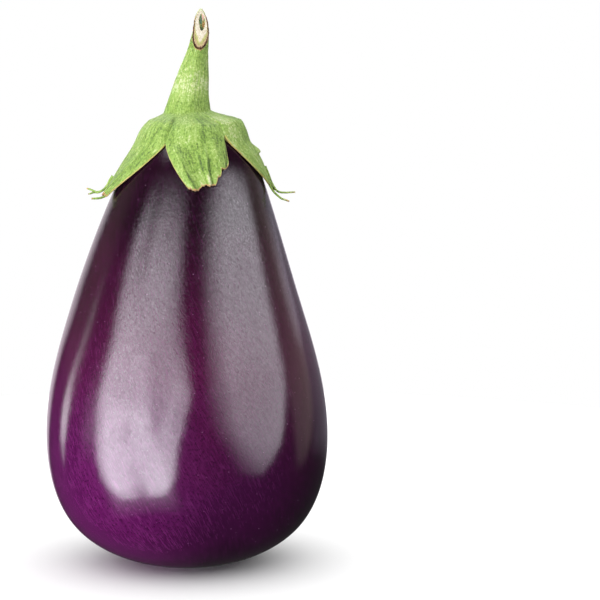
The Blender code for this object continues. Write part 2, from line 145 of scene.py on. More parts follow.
# Adds a node and gives back its output. Values go to inputs by name or number, and sockets are linked.
def addNode(tree, kind, values=(), operation=None, out=0, stops=(), **settings):
    node = tree.nodes.new(kind if "Node" in kind else "ShaderNode" + kind)
    if operation:
        settings["operation"] = operation
    for name, value in settings.items():
        setattr(node, name, value)
    for key, value in (values.items() if isinstance(values, dict) else enumerate(values)):
        if isinstance(value, bpy.types.NodeSocket):
            tree.links.new(value, node.inputs[key])
        elif value is not None:
            node.inputs[key].default_value = value
    if stops and kind == "FloatCurve":
        curve = node.mapping.curves[0].points
        while len(curve) < len(stops):
            curve.new(0.5, 0.5)
        for point, stop in zip(curve, stops):
            point.location, point.handle_type = stop, "VECTOR"
        node.mapping.extend = "HORIZONTAL"
        node.mapping.update()
    elif stops:
        ramp = node.color_ramp.elements
        while len(ramp) < len(stops):
            ramp.new(0.5)
        for element, (place, code) in zip(ramp, stops):
            element.position, element.color = place, colour(code)
    return node if out is None else node.outputs[out]


# A node material with its shader's constant values set on the shader itself
def newMaterial(name, constants):
    material = bpy.data.materials.new(name)
    material.use_nodes = True
    tree = material.node_tree
    shader = tree.nodes["Principled BSDF"]
    for key, value in constants.items():
        shader.inputs[key].default_value = value
    return material, tree, shader


# Gives a shader its colour with layers of (share, hex code) over it, a bump with its depth in millimetres,
# and a roughness that grows with the height of the relief
def finishMaterial(tree, shader, base, layers, height, look):
    for share, code in layers:
        base = addNode(tree, "Mix", {0: share, 6: base, 7: colour(code)}, data_type="RGBA", out=2)
    tree.links.new(base, shader.inputs["Base Color"])
    rough = addNode(tree, "MapRange", [height, 0.2, 0.8, *look["roughness"]])      # where most noise lies
    tree.links.new(rough, shader.inputs["Roughness"])
    bump = addNode(tree, "Bump", {"Height": height, "Strength": 1.0, "Distance": look["reliefDepth"] * mm})
    tree.links.new(bump, shader.inputs["Normal"])


def linkObject(name, data, *materials):
    piece = bpy.data.objects.new(name, data)
    scene.collection.objects.link(piece)
    for material in materials:
        data.materials.append(material)
    return piece


# A Geometry Nodes tree with named inputs, and each input's identifier
def newTree(name, inputs):
    tree = bpy.data.node_groups.new(name, "GeometryNodeTree")
    identifiers = {}
    for label, kind in inputs.items():
        socket = tree.interface.new_socket(name=label, in_out="INPUT", socket_type="NodeSocket" + kind)
        identifiers[label] = socket.identifier
    tree.interface.new_socket(name="Geometry", in_out="OUTPUT", socket_type="NodeSocketGeometry")
    given = addNode(tree, "NodeGroupInput", out=None).outputs
    return tree, identifiers, given, addNode(tree, "NodeGroupOutput", out=None).inputs[0]


# Ends a tree: its shape smooth, real and in one material
def endTree(tree, shape, material, result):
    shape = addNode(tree, "GeometryNodeSetShadeSmooth", {"Geometry": shape})
    shape = addNode(tree, "GeometryNodeRealizeInstances", [shape])
    shape = addNode(tree, "GeometryNodeSetMaterial", {"Geometry": shape, "Material": material})
    tree.links.new(shape, result)


# Runs a Geometry Nodes tree on an empty object and keeps the result as a plain mesh. The lines that it
# followed are removed.
def bakeNodes(name, tree, identifiers, lines, values):
    holder = linkObject(name + "Source", bpy.data.meshes.new(name + "Source"))
    modifier = holder.modifiers.new(name, "NODES")
    modifier.node_group = tree
    modifier[identifiers["Lines"]] = lines
    for key, value in values.items():
        modifier[identifiers[key]] = value
    graph = bpy.context.evaluated_depsgraph_get()
    result = bpy.data.meshes.new_from_object(holder.evaluated_get(graph), depsgraph=graph)
    holder.modifiers.remove(modifier)
    for used in (holder, lines):
        bpy.data.objects.remove(used, do_unlink=True)
    result.name = name
    faceOutwards(result)
    return linkObject(name, result)


def faceOutwards(mesh):
    shell = bmesh.new()
    shell.from_mesh(mesh)
    bmesh.ops.recalc_face_normals(shell, faces=shell.faces)
    shell.to_mesh(mesh)
    shell.free()


# Lines of (x, y, z, radius) points in millimetres as a curve object, for the node trees
def pathObject(name, lines):
    data = bpy.data.curves.new(name, "CURVE")
    data.dimensions = "3D"
    for line in lines:
        spline = data.splines.new("POLY")
        spline.points.add(len(line) - 1)
        for point, (x, y, z, radius) in zip(spline.points, line):
            point.co = (x * mm, y * mm, z * mm, 1.0)
            point.radius = radius * mm
    return linkObject(name, data)


# Eggplant skin, grown, with a thick wax cuticle: the colour lies under a clear glossy film that is smooth
# on the whole but finely wrinkled, so its reflections are sharp with frayed edges. Real strokes of colour
# are about 0.2 mm wide, wrinkles 0.3 mm and pores 0.1 mm. All three are drawn coarser, so that they show.
def waxyEggplantSkin():
    look = {
        # from the base up: most purple at the belly, nearly black by the calyx
        "upwards": [(0.0, "#0d010b"), (0.2, "#23051f"), (0.45, "#2a061d"), (0.8, "#0b0206")],
        "height": 160.0, "lowered": 0.12, "cloudSize": 24.0, "cloudShare": 0.24,
        # the blush low on the left is partly painted light, and shade is painted shade low on the right
        "blushAndPaintedLight": "#34062e", "shade": "#090108", "stroke": "#6e3064", "freckle": "#8a6c84", "spot": "#0c010a",
        "blushAndPaintedLightSide": (-0.82, -0.5, 0.0), "blushAndPaintedLightReach": (0.15, 1.0), "shadeReach": (0.1, -0.75),
        "blushAndPaintedLightLow": 20.0, "blushAndPaintedLightHigh": 95.0,
        "skew": 11.0,                               # turn of the strokes round the fruit, radians per metre
        "strokeWidth": 0.35, "strokeLength": 3.2, "strokeShare": 0.12, "blushAndPaintedLightStrokeShare": 0.42,
        "wrinkleWidth": 0.85, "wrinkleLength": 1.3, "reliefDepth": 0.04, "leastWrinkled": 0.35,
        "smoothBelow": 30.0, "wrinkledAbove": 120.0, "filmChange": 1.05, "roughness": (0.09, 0.12),
        "poreSize": 0.8, "poreShare": 0.3, "freckleSpacing": 1.9, "freckleSize": 0.11, "freckleShare": 0.6,
        "spotSize": 0.9, "spotShare": 0.4,
    }
    material, tree, shader = newMaterial("waxyEggplantSkin", {"IOR": 1.45})
    place = addNode(tree, "TexCoord", out="Object")
    level = addNode(tree, "SeparateXYZ", [place], out=2)
    flat = addNode(tree, "VectorMath", [place, (1, 1, 0)], "MULTIPLY")
    around = addNode(tree, "VectorMath", [flat], "NORMALIZE")
    angle = addNode(tree, "Math", [level, look["skew"]], "MULTIPLY")
    turned = addNode(tree, "VectorRotate", {"Vector": around, "Angle": angle}, rotation_type="Z_AXIS")

    # Noise in strokes of a width and length that lie aslant round the fruit
    def strokes(width, length, detail, distortion):
        across = addNode(tree, "VectorMath", {0: turned, 3: fruit["meanRadius"] / width}, "SCALE")
        lift = addNode(tree, "Math", [level, 1 / (length * mm)], "MULTIPLY")
        where = addNode(tree, "VectorMath", [across, addNode(tree, "CombineXYZ", [0, 0, lift])], "ADD")
        return addNode(tree, "TexNoise", {
            "Vector": where, "Scale": 1.0, "Detail": detail, "Roughness": 0.55, "Distortion": distortion})

    cloud = addNode(tree, "TexNoise", {
        "Vector": place, "Scale": 1 / (look["cloudSize"] * mm), "Detail": 2.0})
    height = addNode(tree, "Math", [level, 1 / (look["height"] * mm), -look["lowered"]], "MULTIPLY_ADD")
    height = addNode(tree, "Math", [cloud, look["cloudShare"], height], "MULTIPLY_ADD")
    base = addNode(tree, "ValToRGB", [height], stops=look["upwards"])

    # Over it, first a redder colour low on the left, partly the skin's own blush and partly painted light
    # where the left lamps fall, then painted shade low on the right
    layers = []
    side = addNode(tree, "VectorMath", [around, look["blushAndPaintedLightSide"]], "DOT_PRODUCT", out="Value")
    low = addNode(tree, "MapRange", [level, look["blushAndPaintedLightLow"] * mm, look["blushAndPaintedLightHigh"] * mm, 1.0, 0.0],
                  interpolation_type="SMOOTHSTEP")
    for name in ("blushAndPaintedLight", "shade"):
        near = addNode(tree, "MapRange", [side, *look[name + "Reach"]], interpolation_type="SMOOTHSTEP")
        layers.append((addNode(tree, "Math", [low, near], "MULTIPLY"), look[name]))
    blushAndPaintedLight = layers[0][0]

    # Then slanting strokes of pale colour, dark spots, and pale freckles of wax
    stroke = strokes(look["strokeWidth"], look["strokeLength"], 3.0, 0.4)
    most = addNode(tree, "MapRange", [blushAndPaintedLight, 0.0, 0.8, look["strokeShare"], look["blushAndPaintedLightStrokeShare"]])
    layers.append((addNode(tree, "MapRange", [stroke, 0.5, 0.75, 0.0, most]), look["stroke"]))
    spots, pores = (addNode(tree, "TexNoise", {
        "Vector": place, "Scale": 1 / (look[size] * mm), "Detail": detail})
        for size, detail in (("spotSize", 3.0), ("poreSize", 1.0)))
    layers.append((addNode(tree, "MapRange", [spots, 0.5, 0.7, 0.0, look["spotShare"]]), look["spot"]))
    cells = addNode(tree, "TexVoronoi", {
        "Vector": place, "Scale": 1 / (look["freckleSpacing"] * mm)}, out=None).outputs
    dot = addNode(tree, "MapRange", [cells["Distance"], look["freckleSize"], 0.02, 0.0, 1.0])
    chance = addNode(tree, "MapRange", [cells["Color"], 0.45, 0.95, 0.0, look["freckleShare"]])
    layers.append((addNode(tree, "Math", [dot, chance], "MULTIPLY"), look["freckle"]))

    # Fine wrinkles and pores in the wax, which is smoother where the fruit is full. The film is thinner, and
    # so a little less bright, in the hollows between them.
    wrinkles = strokes(look["wrinkleWidth"], look["wrinkleLength"], 3.0, 1.6)
    relief = addNode(tree, "Math", [pores, look["poreShare"], wrinkles], "MULTIPLY_ADD")
    meanRelief = 0.5 + 0.5 * look["poreShare"]      # each noise is 0.5 on average
    wrinkled = addNode(tree, "MapRange", [
        level, look["smoothBelow"] * mm, look["wrinkledAbove"] * mm, look["leastWrinkled"], 1.0])
    film = addNode(tree, "Math", [relief, meanRelief], "SUBTRACT")
    film = addNode(tree, "Math", [film, wrinkled], "MULTIPLY")
    film = addNode(tree, "Math", [film, look["filmChange"], 0.5], "MULTIPLY_ADD")
    tree.links.new(film, shader.inputs["Specular IOR Level"])
    finishMaterial(tree, shader, base, layers, addNode(tree, "Math", [relief, wrinkled], "MULTIPLY"), look)
    return material


# The fruit's skin as a rule: the outline swung round the axis, leant at the neck, with swells, flutes
# and dimples
def buildSkin(material):
    tree, identifiers, size, result = newTree("fruitByRule", {
        "Lines": "Object", "Sides": "Int", "Rings": "Int", "Neck lean": "Float", "Lean start": "Float",
        "Lean height": "Float", "Lean power": "Float", "Flute depth": "Float", "Flute width": "Float",
        "Flute length": "Float", "Dimple depth": "Float", "Dimple size": "Float", "Skin": "Material"})
    counts = [addNode(tree, "Math", [size[key], 1], "ADD") for key in ("Sides", "Rings")]
    grid = addNode(tree, "GeometryNodeMeshGrid", [1.0, 1.0, *counts])
    place = addNode(tree, "SeparateXYZ", [addNode(tree, "GeometryNodeInputPosition")], out=None).outputs
    turn = addNode(tree, "Math", [place[0], math.tau], "MULTIPLY")      # the seam lies at the back
    down = addNode(tree, "Math", [place[1], 0.5], "ADD")
    line = addNode(tree, "GeometryNodeObjectInfo", [size["Lines"]], out="Geometry")
    onLine = addNode(tree, "GeometryNodeSampleCurve", {"Curves": line, "Factor": down}, out="Position",
                     mode="FACTOR", use_all_curves=True)
    onLine = addNode(tree, "SeparateXYZ", [onLine], out=None).outputs
    radius, level = onLine[0], onLine[2]
    sine, cosine = (addNode(tree, "Math", [turn], operation) for operation in ("SINE", "COSINE"))

    # Swells round the fruit, which fade out at both ends
    share = addNode(tree, "Math", [level, size["Lean height"]], "DIVIDE", use_clamp=True)
    arch = addNode(tree, "Math", [addNode(tree, "Math", [share, math.pi], "MULTIPLY")], "SINE")
    fade = addNode(tree, "Math", [arch, arch], "MULTIPLY")
    for waves, depth, crest in fruit["swells"]:
        phase = addNode(tree, "Math", [turn, waves, -math.radians(waves * crest)], "MULTIPLY_ADD")
        wave = addNode(tree, "Math", [addNode(tree, "Math", [phase], "COSINE"), fade], "MULTIPLY")
        radius = addNode(tree, "Math", [wave, depth * mm, radius], "MULTIPLY_ADD")

    # Flutes run lengthwise, dimples lie anywhere
    around = addNode(tree, "CombineXYZ", [sine, cosine])
    perWidth = addNode(tree, "Math", [fruit["meanRadius"] * mm, size["Flute width"]], "DIVIDE")
    lanes = addNode(tree, "VectorMath", {0: around, 3: perWidth}, "SCALE")
    perLength = addNode(tree, "Math", [level, size["Flute length"]], "DIVIDE")
    lanes = addNode(tree, "VectorMath", [lanes, addNode(tree, "CombineXYZ", [0, 0, perLength])], "ADD")
    spread = addNode(tree, "VectorMath", {0: around, 3: radius}, "SCALE")
    spread = addNode(tree, "VectorMath", [spread, addNode(tree, "CombineXYZ", [0, 0, level])], "ADD")
    perSize = addNode(tree, "Math", [1.0, size["Dimple size"]], "DIVIDE")
    relief = 0.0
    for where, scale, raised, depth in ((lanes, 1.0, fruit["fluteRaised"], "Flute depth"),
                                        (spread, perSize, fruit["dimpleRaised"], "Dimple depth")):
        uneven = addNode(tree, "TexNoise", {"Vector": where, "Scale": scale, "Detail": 1.0})
        uneven = addNode(tree, "Math", [uneven, raised], "SUBTRACT")
        relief = addNode(tree, "Math", [uneven, size[depth], relief], "MULTIPLY_ADD")
    radius = addNode(tree, "Math", [relief, fade, radius], "MULTIPLY_ADD")

    # Lean of the neck towards +X
    rise = addNode(tree, "MapRange", {0: level, 1: size["Lean start"], 2: size["Lean height"]}, clamp=False)
    rise = addNode(tree, "Math", [addNode(tree, "Math", [rise, 0.0], "MAXIMUM"), size["Lean power"]], "POWER")
    lean = addNode(tree, "Math", [rise, size["Neck lean"]], "MULTIPLY")
    back = addNode(tree, "Math", [radius, addNode(tree, "Math", [cosine, -1.0], "MULTIPLY")], "MULTIPLY")
    sideways = addNode(tree, "Math", [radius, sine, lean], "MULTIPLY_ADD")
    moved = addNode(tree, "CombineXYZ", [sideways, back, level])
    shell = addNode(tree, "GeometryNodeSetPosition", {"Geometry": grid, "Position": moved})
    shell = addNode(tree, "GeometryNodeMergeByDistance", {"Geometry": shell, "Distance": 0.001 * mm})
    endTree(tree, shell, size["Skin"], result)

    line = pathObject("outline", [[(r, 0.0, z, 1.0) for r, z in [*map(tuple, outline), *fruit["scar"]]]])
    return bakeNodes("fruitSkin", tree, identifiers, line, {
        "Sides": fruit["sides"], "Rings": fruit["rings"], "Lean power": fruit["leanPower"],
        "Neck lean": fruit["neckLean"] * mm, "Lean start": fruit["leanStart"] * mm,
        "Lean height": fruit["leanHeight"] * mm, "Flute depth": fruit["fluteDepth"] * mm,
        "Flute width": fruit["fluteWidth"] * mm, "Flute length": fruit["fluteLength"] * mm,
        "Dimple depth": fruit["dimpleDepth"] * mm, "Dimple size": fruit["dimpleSize"] * mm,
        "Skin": material})


# Lets a finished piece stand for a CAD node
def standFor(piece, node):
    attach(piece, "root")
    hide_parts(node)
    print(piece.name, "has", len(piece.data.polygons), "faces")


standFor(buildSkin(waxyEggplantSkin()), "fruit")

# Each lobe runs from its own notch to the next lobe's. Corners are the azimuths at the ends of its torn
# tip, the tip is (share across, arc), and ribs are (share across, height, share of width).
calyx = {
    # Lobes: their gap to the skin and thickness, the lift of a tip's sides as a share of its middle's, and
    # small tears along each tip
    "gap": 0.24, "edgeThickness": 0.42, "middleThickness": 0.95, "thinnest": 0.35, "rows": 60,
    "sideLift": 0.75, "tearDepth": 0.16, "tearWaves": (71.0, 29.0), "marginReach": 0.13, "tipReach": 0.16,
    # Shares of a lobe over which ribs, tones and folds grow, and the share by which ribs sink again. The rib
    # tone is painted light along the ribs
    "ribRise": 0.45, "toneRise": 0.3, "foldRise": 0.15, "ribFall": 0.45, "ribPaintedLight": 0.5,
    # Collar: its arc, the arcs between which its swelling falls away, and that swelling's share at a notch
    "collarArc": 15.0, "collarFullArc": 13.5, "collarFallArc": 23.5, "collarRows": 8, "notchKnuckle": 0.82,
    "seatArcs": [19.0, 17.0, 15.0, 12.0, 9.0, 6.0, 3.0],    # rings of the underside, up to the crown
    # Flare, from the collar to the stalk's foot
    "flareRows": 26, "flarePull": 4.0, "slopeStep": 1.5, "flareLength": 12.0,
    # Stalk: its centre and radius by height, its width against its depth, narrower at the cut end, and the
    # painted light and shade of its tones from the cut down
    "stalkRows": 64, "stalkFoot": 160.8, "stalkTop": 190.0, "footTilt": 0.5,
    "stalkRidges": 5, "stalkRidgeDepth": 0.22,
    "stalkCentre": [(160.0, 0.5), (166.0, 1.2), (174.6, 2.75), (183.2, 4.5), (188.0, 5.25), (192.0, 5.5),
                    (199.0, 5.65)],
    "stalkRadius": [(160.0, 8.3), (166.0, 6.85), (174.6, 5.3), (183.2, 3.5), (188.0, 3.05), (199.0, 2.8)],
    "stalkNarrowness": [(185.0, 1.0), (188.0, 0.95), (191.0, 0.87), (193.5, 0.83), (196.5, 0.66)],
    "stalkPaintedLightAndShade": [(0.0, -0.15), (0.25, 0.1), (0.64, 0.62), (0.85, -0.05), (1.0, 0.0)],
    # Cut and the hole for the wood. The rim is driest at one azimuth, and fresh and pale far round from it.
    "cutHeight": 189.55, "cutSlope": 2.37, "cutTurn": 10.0,
    "rimWidth": 0.3, "rimDrop": 0.1, "holeFoot": 176.0, "holeInset": 1.5,
    "driestTurn": 15.0, "freshFrom": 112.0, "freshTo": 150.0, "freshTone": 1.6, "mouthTone": 1.7,
    "dryDepth": 0.5, "drySpread": 0.6, "drySwelling": 0.12, "dryWaves": 2.3,
    # What the material reads: distances over which a lobe's side, its margin and its torn tip are felt, and
    # how dry its sides and its tip are
    "rootWidth": 14.0, "tipRadius": 28.0, "marginTone": 0.2, "marginFades": (0.4, 2.2), "reliefStart": 0.6,
    "tipDryness": 0.8, "tipDries": (1.2, 0.3), "marginDryness": (0.3, 0.9),
    "undersideTone": 0.3, "footTone": 0.05, "fibreRadius": 12.0, "farFromEdge": 9.0,
    # Low relief: fibres run lengthwise, and the tissue between them is uneven
    "fibreRelief": 0.13, "fibreAcross": 1.3, "fibreAlong": 8.0, "lumpRelief": 0.1, "lumpSize": 2.2,
    "lobes": [
        dict(name="front", notch=-28.0, notchArc=21.4, corners=(0.5, 34.5), columns=84, bow=1.0,
             tip=[(0.0, 37.7), (0.10, 38.5), (0.2, 38.7), (0.235, 38.4), (0.265, 37.6), (0.30, 36.9),
                  (0.34, 36.9), (0.40, 36.6), (0.47, 37.1), (0.545, 36.9), (0.6, 36.6), (0.63, 35.9),
                  (0.65, 34.9), (0.66, 34.1), (0.72, 33.9), (0.74, 33.3), (0.752, 32.3), (0.76, 31.2),
                  (0.79, 30.9), (0.815, 31.5), (0.853, 31.3), (0.956, 30.4), (1.0, 29.4)],
             knuckle=1.9, lift=0.25, ribs=[]),
        dict(name="right", notch=38.5, notchArc=18.4, corners=(90.0, 97.0), columns=80, bow=1.15,
             tip=[(0.0, 40.6), (0.5, 41.6), (1.0, 40.0)],
             knuckle=3.1, lift=1.5, ribs=[(0.3, 0.4, 0.09), (0.6, 0.5, 0.1)]),
        dict(name="backRight", notch=122.0, notchArc=21.0, corners=(150.0, 157.0), columns=64, bow=1.25,
             tip=[(0.0, 36.0), (0.45, 37.4), (0.7, 36.2), (1.0, 35.2)],
             knuckle=2.0, lift=0.7, ribs=[(0.3, 0.25, 0.08), (0.5, 0.55, 0.12), (0.8, 0.25, 0.08)]),
        dict(name="backLeft", notch=190.0, notchArc=20.4, corners=(218.0, 230.0), columns=64, bow=1.2,
             tip=[(0.0, 37.5), (0.3, 39.4), (0.42, 38.2), (0.6, 37.9), (1.0, 38.6)],
             knuckle=2.1, lift=0.5, ribs=[(0.28, 0.4, 0.1), (0.64, 0.5, 0.1)]),
        dict(name="left", notch=254.0, notchArc=21.4, corners=(273.0, 284.0), columns=80, bow=1.25,
             tip=[(0.0, 41.5), (0.35, 43.3), (0.6, 42.0), (1.0, 43.0)], shoulder=(0.75, 20.0, 4.5),
             knuckle=2.7, lift=2.0, ribs=[(0.38, 0.3, 0.1), (0.7, 0.3, 0.08)], tone=-0.25),
    ],
    # Lines on the front lobe that its folds follow, as (arc, azimuth)
    "foldLines": {
        "strip": [(14, -31), (18, -26.5), (22.2, -17), (26, -10.5), (29.5, -6), (33.5, -1), (36.2, 2.5),
                  (39, 5.5)],
        "pleat": [(18, 12.5), (22, 13.2), (27.2, 14.5), (31, 14.9), (33.8, 16), (38, 17.5)],
        "twin": [(24, 9.6), (27.8, 10.5), (31, 12.3), (33.2, 14), (36, 15.5)],
        "panel": [(16, 22), (20.2, 23), (24.2, 24), (28, 25.5), (30.8, 26.5), (34, 28)],
        "hollow": [(20, -6), (26, 0.5), (32, 5.5), (38, 9)],
        "margin": [(15, 38.2), (19.8, 38.2), (23.8, 35.9), (27, 34.4), (29.6, 32.4), (31, 31.4)],
    },
    # Folds, and their pale and dark lines of painted light and shade, pale on ridges and dark in grooves (the
    # paler tip is its own colour): line, millimetres to its right, half width, the arcs where it starts and
    # is full, and its height or tone
    "folds": [("pleat", -0.1, 0.5, 22.0, 28.5, 0.4), ("pleat", 0.85, 0.45, 22.0, 28.5, -0.45),
              ("twin", 0.0, 0.4, 25.0, 29.0, 0.35), ("panel", 0.0, 1.7, 14.0, 24.0, 0.5),
              ("hollow", 0.0, 2.2, 16.0, 26.0, -0.35), ("margin", 0.0, 0.4, 16.0, 20.0, -0.35)],
    "foldPaintedLightShadeAndTint": [("strip", 0.4, 0.5, 25.0, 33.0, -0.8), ("pleat", -0.1, 0.4, 22.0, 28.5, 0.2),
                  ("pleat", 0.8, 0.45, 22.0, 28.5, -1.0), ("twin", -0.6, 0.4, 25.0, 29.0, -0.7),
                  ("pleat", -1.0, 2.8, 31.0, 34.5, 0.9), ("margin", 0.0, 0.4, 16.0, 20.0, -1.1)],
    # Wide steps of the same lobe: line, from and to how far to its right, arcs, and height or tone. The tones
    # are painted light on the raised margin strip and on the rolled strip's left flank
    "steps": [("margin", -0.1, 0.5, 16.0, 20.0, 0.25)],
    "stepPaintedLight": [("margin", 0.15, 0.6, 16.0, 20.0, 0.6), ("strip", 0.0, -1.6, 19.0, 26.0, 0.05)],
    "stripRoll": dict(left=4.2, right=1.3, power=1.1, start=17.5, full=27.0, height=1.0),
    "paintedShadePanel": dict(fromStrip=(0.2, 2.0), fromPleat=(-0.2, 1.5), start=18.0, full=24.0, tone=-0.15),
    # Painted light (above 0) and painted shade where the lobes join, pale on the shoulders and dark in the
    # creases between them: azimuth, half width and tone. Then the arcs where they start, are full, fade and
    # end
    "shoulderPaintedLightAndShade": [(-70, 14, 0.1), (-26, 6, -0.25), (-6, 8, 0.25), (12.6, 2.4, -0.4), (27, 7, -0.2),
                      (50, 12, 0.45), (80, 12, -0.2), (122, 6, -0.4), (152, 12, 0.3), (-170, 6, -0.4),
                      (-137, 12, 0.25), (-106, 6, -0.3)],
    "shoulderArcs": (3.0, 9.0, 19.0, 26.0),
    # A flap torn up on the right lobe: azimuth and its half width, arcs where it rises and ends, height
    "flap": dict(azimuth=92.0, width=6.0, rise=22.5, end=27.0, drop=0.5, height=0.95),
}


# Distance in millimetres across the skin, to the right of a line of (arc, azimuth) points
def besideLine(knots, azimuth, arc):
    return np.radians(azimuth - through(knots, arc)) * np.interp(arc, arcs, outline[:, 0])


# Relief of the front lobe's pleats and hollows, and its tone there: painted light on ridges, painted shade in
# grooves and hollows, and a paler tip of its own colour
def frontFolds(azimuth, arc):
    beside = {name: besideLine(knots, azimuth, arc) for name, knots in calyx["foldLines"].items()}

    def beyond(x, place, width):
        return ridge(x - place, width)

    def summed(table, across):
        return sum(amount * smoothStep(arc, start, full) * across(beside[name], first, second)
                   for name, first, second, start, full, amount in calyx[table])

    # The strip that is rolled over on the left, falling gently to its left and steeply to its right
    strip, roll = beside["strip"], calyx["stripRoll"]
    rolled = np.where(strip < 0, np.clip(1 + strip / roll["left"], 0, 1)**roll["power"],
                      ridge(np.clip(strip, 0, None), roll["right"]))
    relief = roll["height"] * smoothStep(arc, roll["start"], roll["full"]) * rolled
    relief = relief + summed("folds", beyond) + summed("steps", smoothStep)
    tone = summed("foldPaintedLightShadeAndTint", beyond) + summed("stepPaintedLight", smoothStep)

    # The panel between the strip and the pleat is a little darker: painted shade
    panel = calyx["paintedShadePanel"]
    between = smoothStep(strip, *panel["fromStrip"]) * smoothStep(-beside["pleat"], *panel["fromPleat"])
    return relief, tone + panel["tone"] * smoothStep(arc, panel["start"], panel["full"]) * between


# Painted light and shade round the shoulders, from the stalk's foot down to the lobes
def paintedShoulderLightAndShade(azimuth, arc):
    turn = (np.asarray(azimuth) + 180) % 360 - 180
    start, full, fade, end = calyx["shoulderArcs"]
    reach = smoothStep(arc, start, full) * (1 - smoothStep(arc, fade, end))
    return reach * sum(tone * ridge(turn - where, width) for where, width, tone in calyx["shoulderPaintedLightAndShade"])


# Height of the flap torn up on the right lobe
def flapHeight(azimuth, arc):
    flap = calyx["flap"]
    standing = smoothStep(arc, flap["rise"], flap["end"])
    standing = standing * (1 - smoothStep(arc, flap["end"], flap["end"] + flap["drop"]))
    return flap["height"] * standing * ridge(azimuth - flap["azimuth"], flap["width"])


def lobeSpan(index):
    lobes = calyx["lobes"]
    lobe, following = lobes[index], lobes[(index + 1) % len(lobes)]
    end = following["notch"] + (360.0 if index + 1 == len(lobes) else 0.0)
    return lobe, lobe["notch"], lobe["notchArc"], end, following["notchArc"]


# Azimuth and arc of a place in a lobe, from its root (down 0) to its torn tip (down 1)
def lobePlace(index, across, down):
    lobe, start, startArc, end, endArc = lobeSpan(index)
    narrowing = np.clip(down, 0, None)**lobe["bow"]
    left = start + (lobe["corners"][0] - start) * narrowing
    right = end + (lobe["corners"][1] - end) * narrowing
    rootArc = startArc + (endArc - startArc) * across
    fine, coarse = calyx["tearWaves"]
    tear = calyx["tearDepth"] * np.sin(across * fine + index) * np.sin(across * coarse + 2.0 * index)
    arc = rootArc + (straight(lobe["tip"], np.clip(across, 0, 1)) + tear - rootArc) * down
    return left + (right - left) * across, arc


def rootPlace(index, across):
    return lobePlace(index, across, 0.0 * across)


# Heights above the skin of a lobe's underside and of its outer face, and its tone: painted light along
# its ribs, painted light and shade on the front lobe's folds, and the lobe's own tone
def lobeHeights(index, across, down, azimuth, arc):
    lobe = calyx["lobes"][index]
    middle = np.sin(np.pi * np.clip(across, 0, 1))
    body = middle**0.5
    sides = calyx["sideLift"]
    under = calyx["gap"] + lobe["lift"] * down**2 * (sides + (1 - sides) * middle)
    blade = calyx["edgeThickness"] + (calyx["middleThickness"] - calyx["edgeThickness"]) * body
    ribs = sum((h * ridge(across - where, width) for where, h, width in lobe["ribs"]), 0 * across)
    folds = ribs * smoothStep(down, 0.0, calyx["ribRise"]) * (1 - calyx["ribFall"] * down) * body
    # Painted light along the ribs, plus the lobe's own tone
    tone = (calyx["ribPaintedLight"] * ribs + lobe.get("tone", 0.0)) * smoothStep(down, 0.0, calyx["toneRise"])
    if lobe["name"] == "front":
        relief, tone = (part * smoothStep(down, 0.0, calyx["foldRise"]) for part in frontFolds(azimuth, arc))
        folds = folds + relief
    if lobe["name"] == "right":
        folds = folds + flapHeight(azimuth, arc)
    share = calyx["notchKnuckle"] + (1 - calyx["notchKnuckle"]) * middle
    collar = lobe["knuckle"] * share * (1 - smoothStep(arc, calyx["collarFullArc"], calyx["collarFallArc"]))
    if "shoulder" in lobe:
        height, where, width = lobe["shoulder"]
        collar = collar + height * body * ridge(arc - where, width)
    return under, np.maximum(under + blade + folds + collar, under + calyx["thinnest"]), tone


def stalkPoint(azimuth, height, extra=0.0):
    ridges = calyx["stalkRidgeDepth"] * np.cos(np.radians(calyx["stalkRidges"] * azimuth))
    ridges = ridges * (1 - smoothStep(height, calyx["stalkFoot"], calyx["cutHeight"]))
    radius = through(calyx["stalkRadius"], height) + ridges + extra
    width = radius * through(calyx["stalkNarrowness"], height)
    x = through(calyx["stalkCentre"], height) + width * np.sin(np.radians(azimuth))
    return np.stack(np.broadcast_arrays(x, -radius * np.cos(np.radians(azimuth)), height), axis=-1)


# Height of the slanting cut where a stalk line at this azimuth meets it
def cutLevel(azimuth):
    radius = through(calyx["stalkRadius"], calyx["cutHeight"])
    return calyx["cutHeight"] - calyx["cutSlope"] * radius * np.cos(np.radians(azimuth - calyx["cutTurn"]))


def footLevel(azimuth):
    return calyx["stalkFoot"] + calyx["footTilt"] * np.sin(np.radians(azimuth))


def collarPoint(index, across, arc):
    azimuth, _ = rootPlace(index, across)
    return skinPoint(azimuth, arc, lobeHeights(index, across, 0.0 * across, azimuth, arc)[1])


# A pull of the flare's length along the way from one point to another
def pullAlong(start, end):
    way = end - start
    return way / np.linalg.norm(way, axis=-1, keepdims=True) * calyx["flarePull"]


# Points on the flare between the collar (share 0) and the stalk's foot (share 1)
def flarePoint(index, across, share):
    azimuth, _ = rootPlace(index, across)
    arc, foot, step = calyx["collarArc"], footLevel(azimuth), calyx["slopeStep"]
    start, end = collarPoint(index, across, arc), stalkPoint(azimuth, foot)
    return bent(share, start, end, pullAlong(collarPoint(index, across, arc + step), start),
                pullAlong(end, stalkPoint(azimuth, foot + step)))


# A mesh in the making: its points in millimetres, its faces, and values at each point. The materials read
# the place along the fibres, the distance from a torn edge, dryness and tone, which holds painted light and
# shade as well as paler and darker tissue. Outside says how much of the low relief a point gets.
def newSheet():
    return {"count": 0, **{label: [] for label in (
        "points", "faces", "fibre", "edge", "dry", "tone", "outside")}}


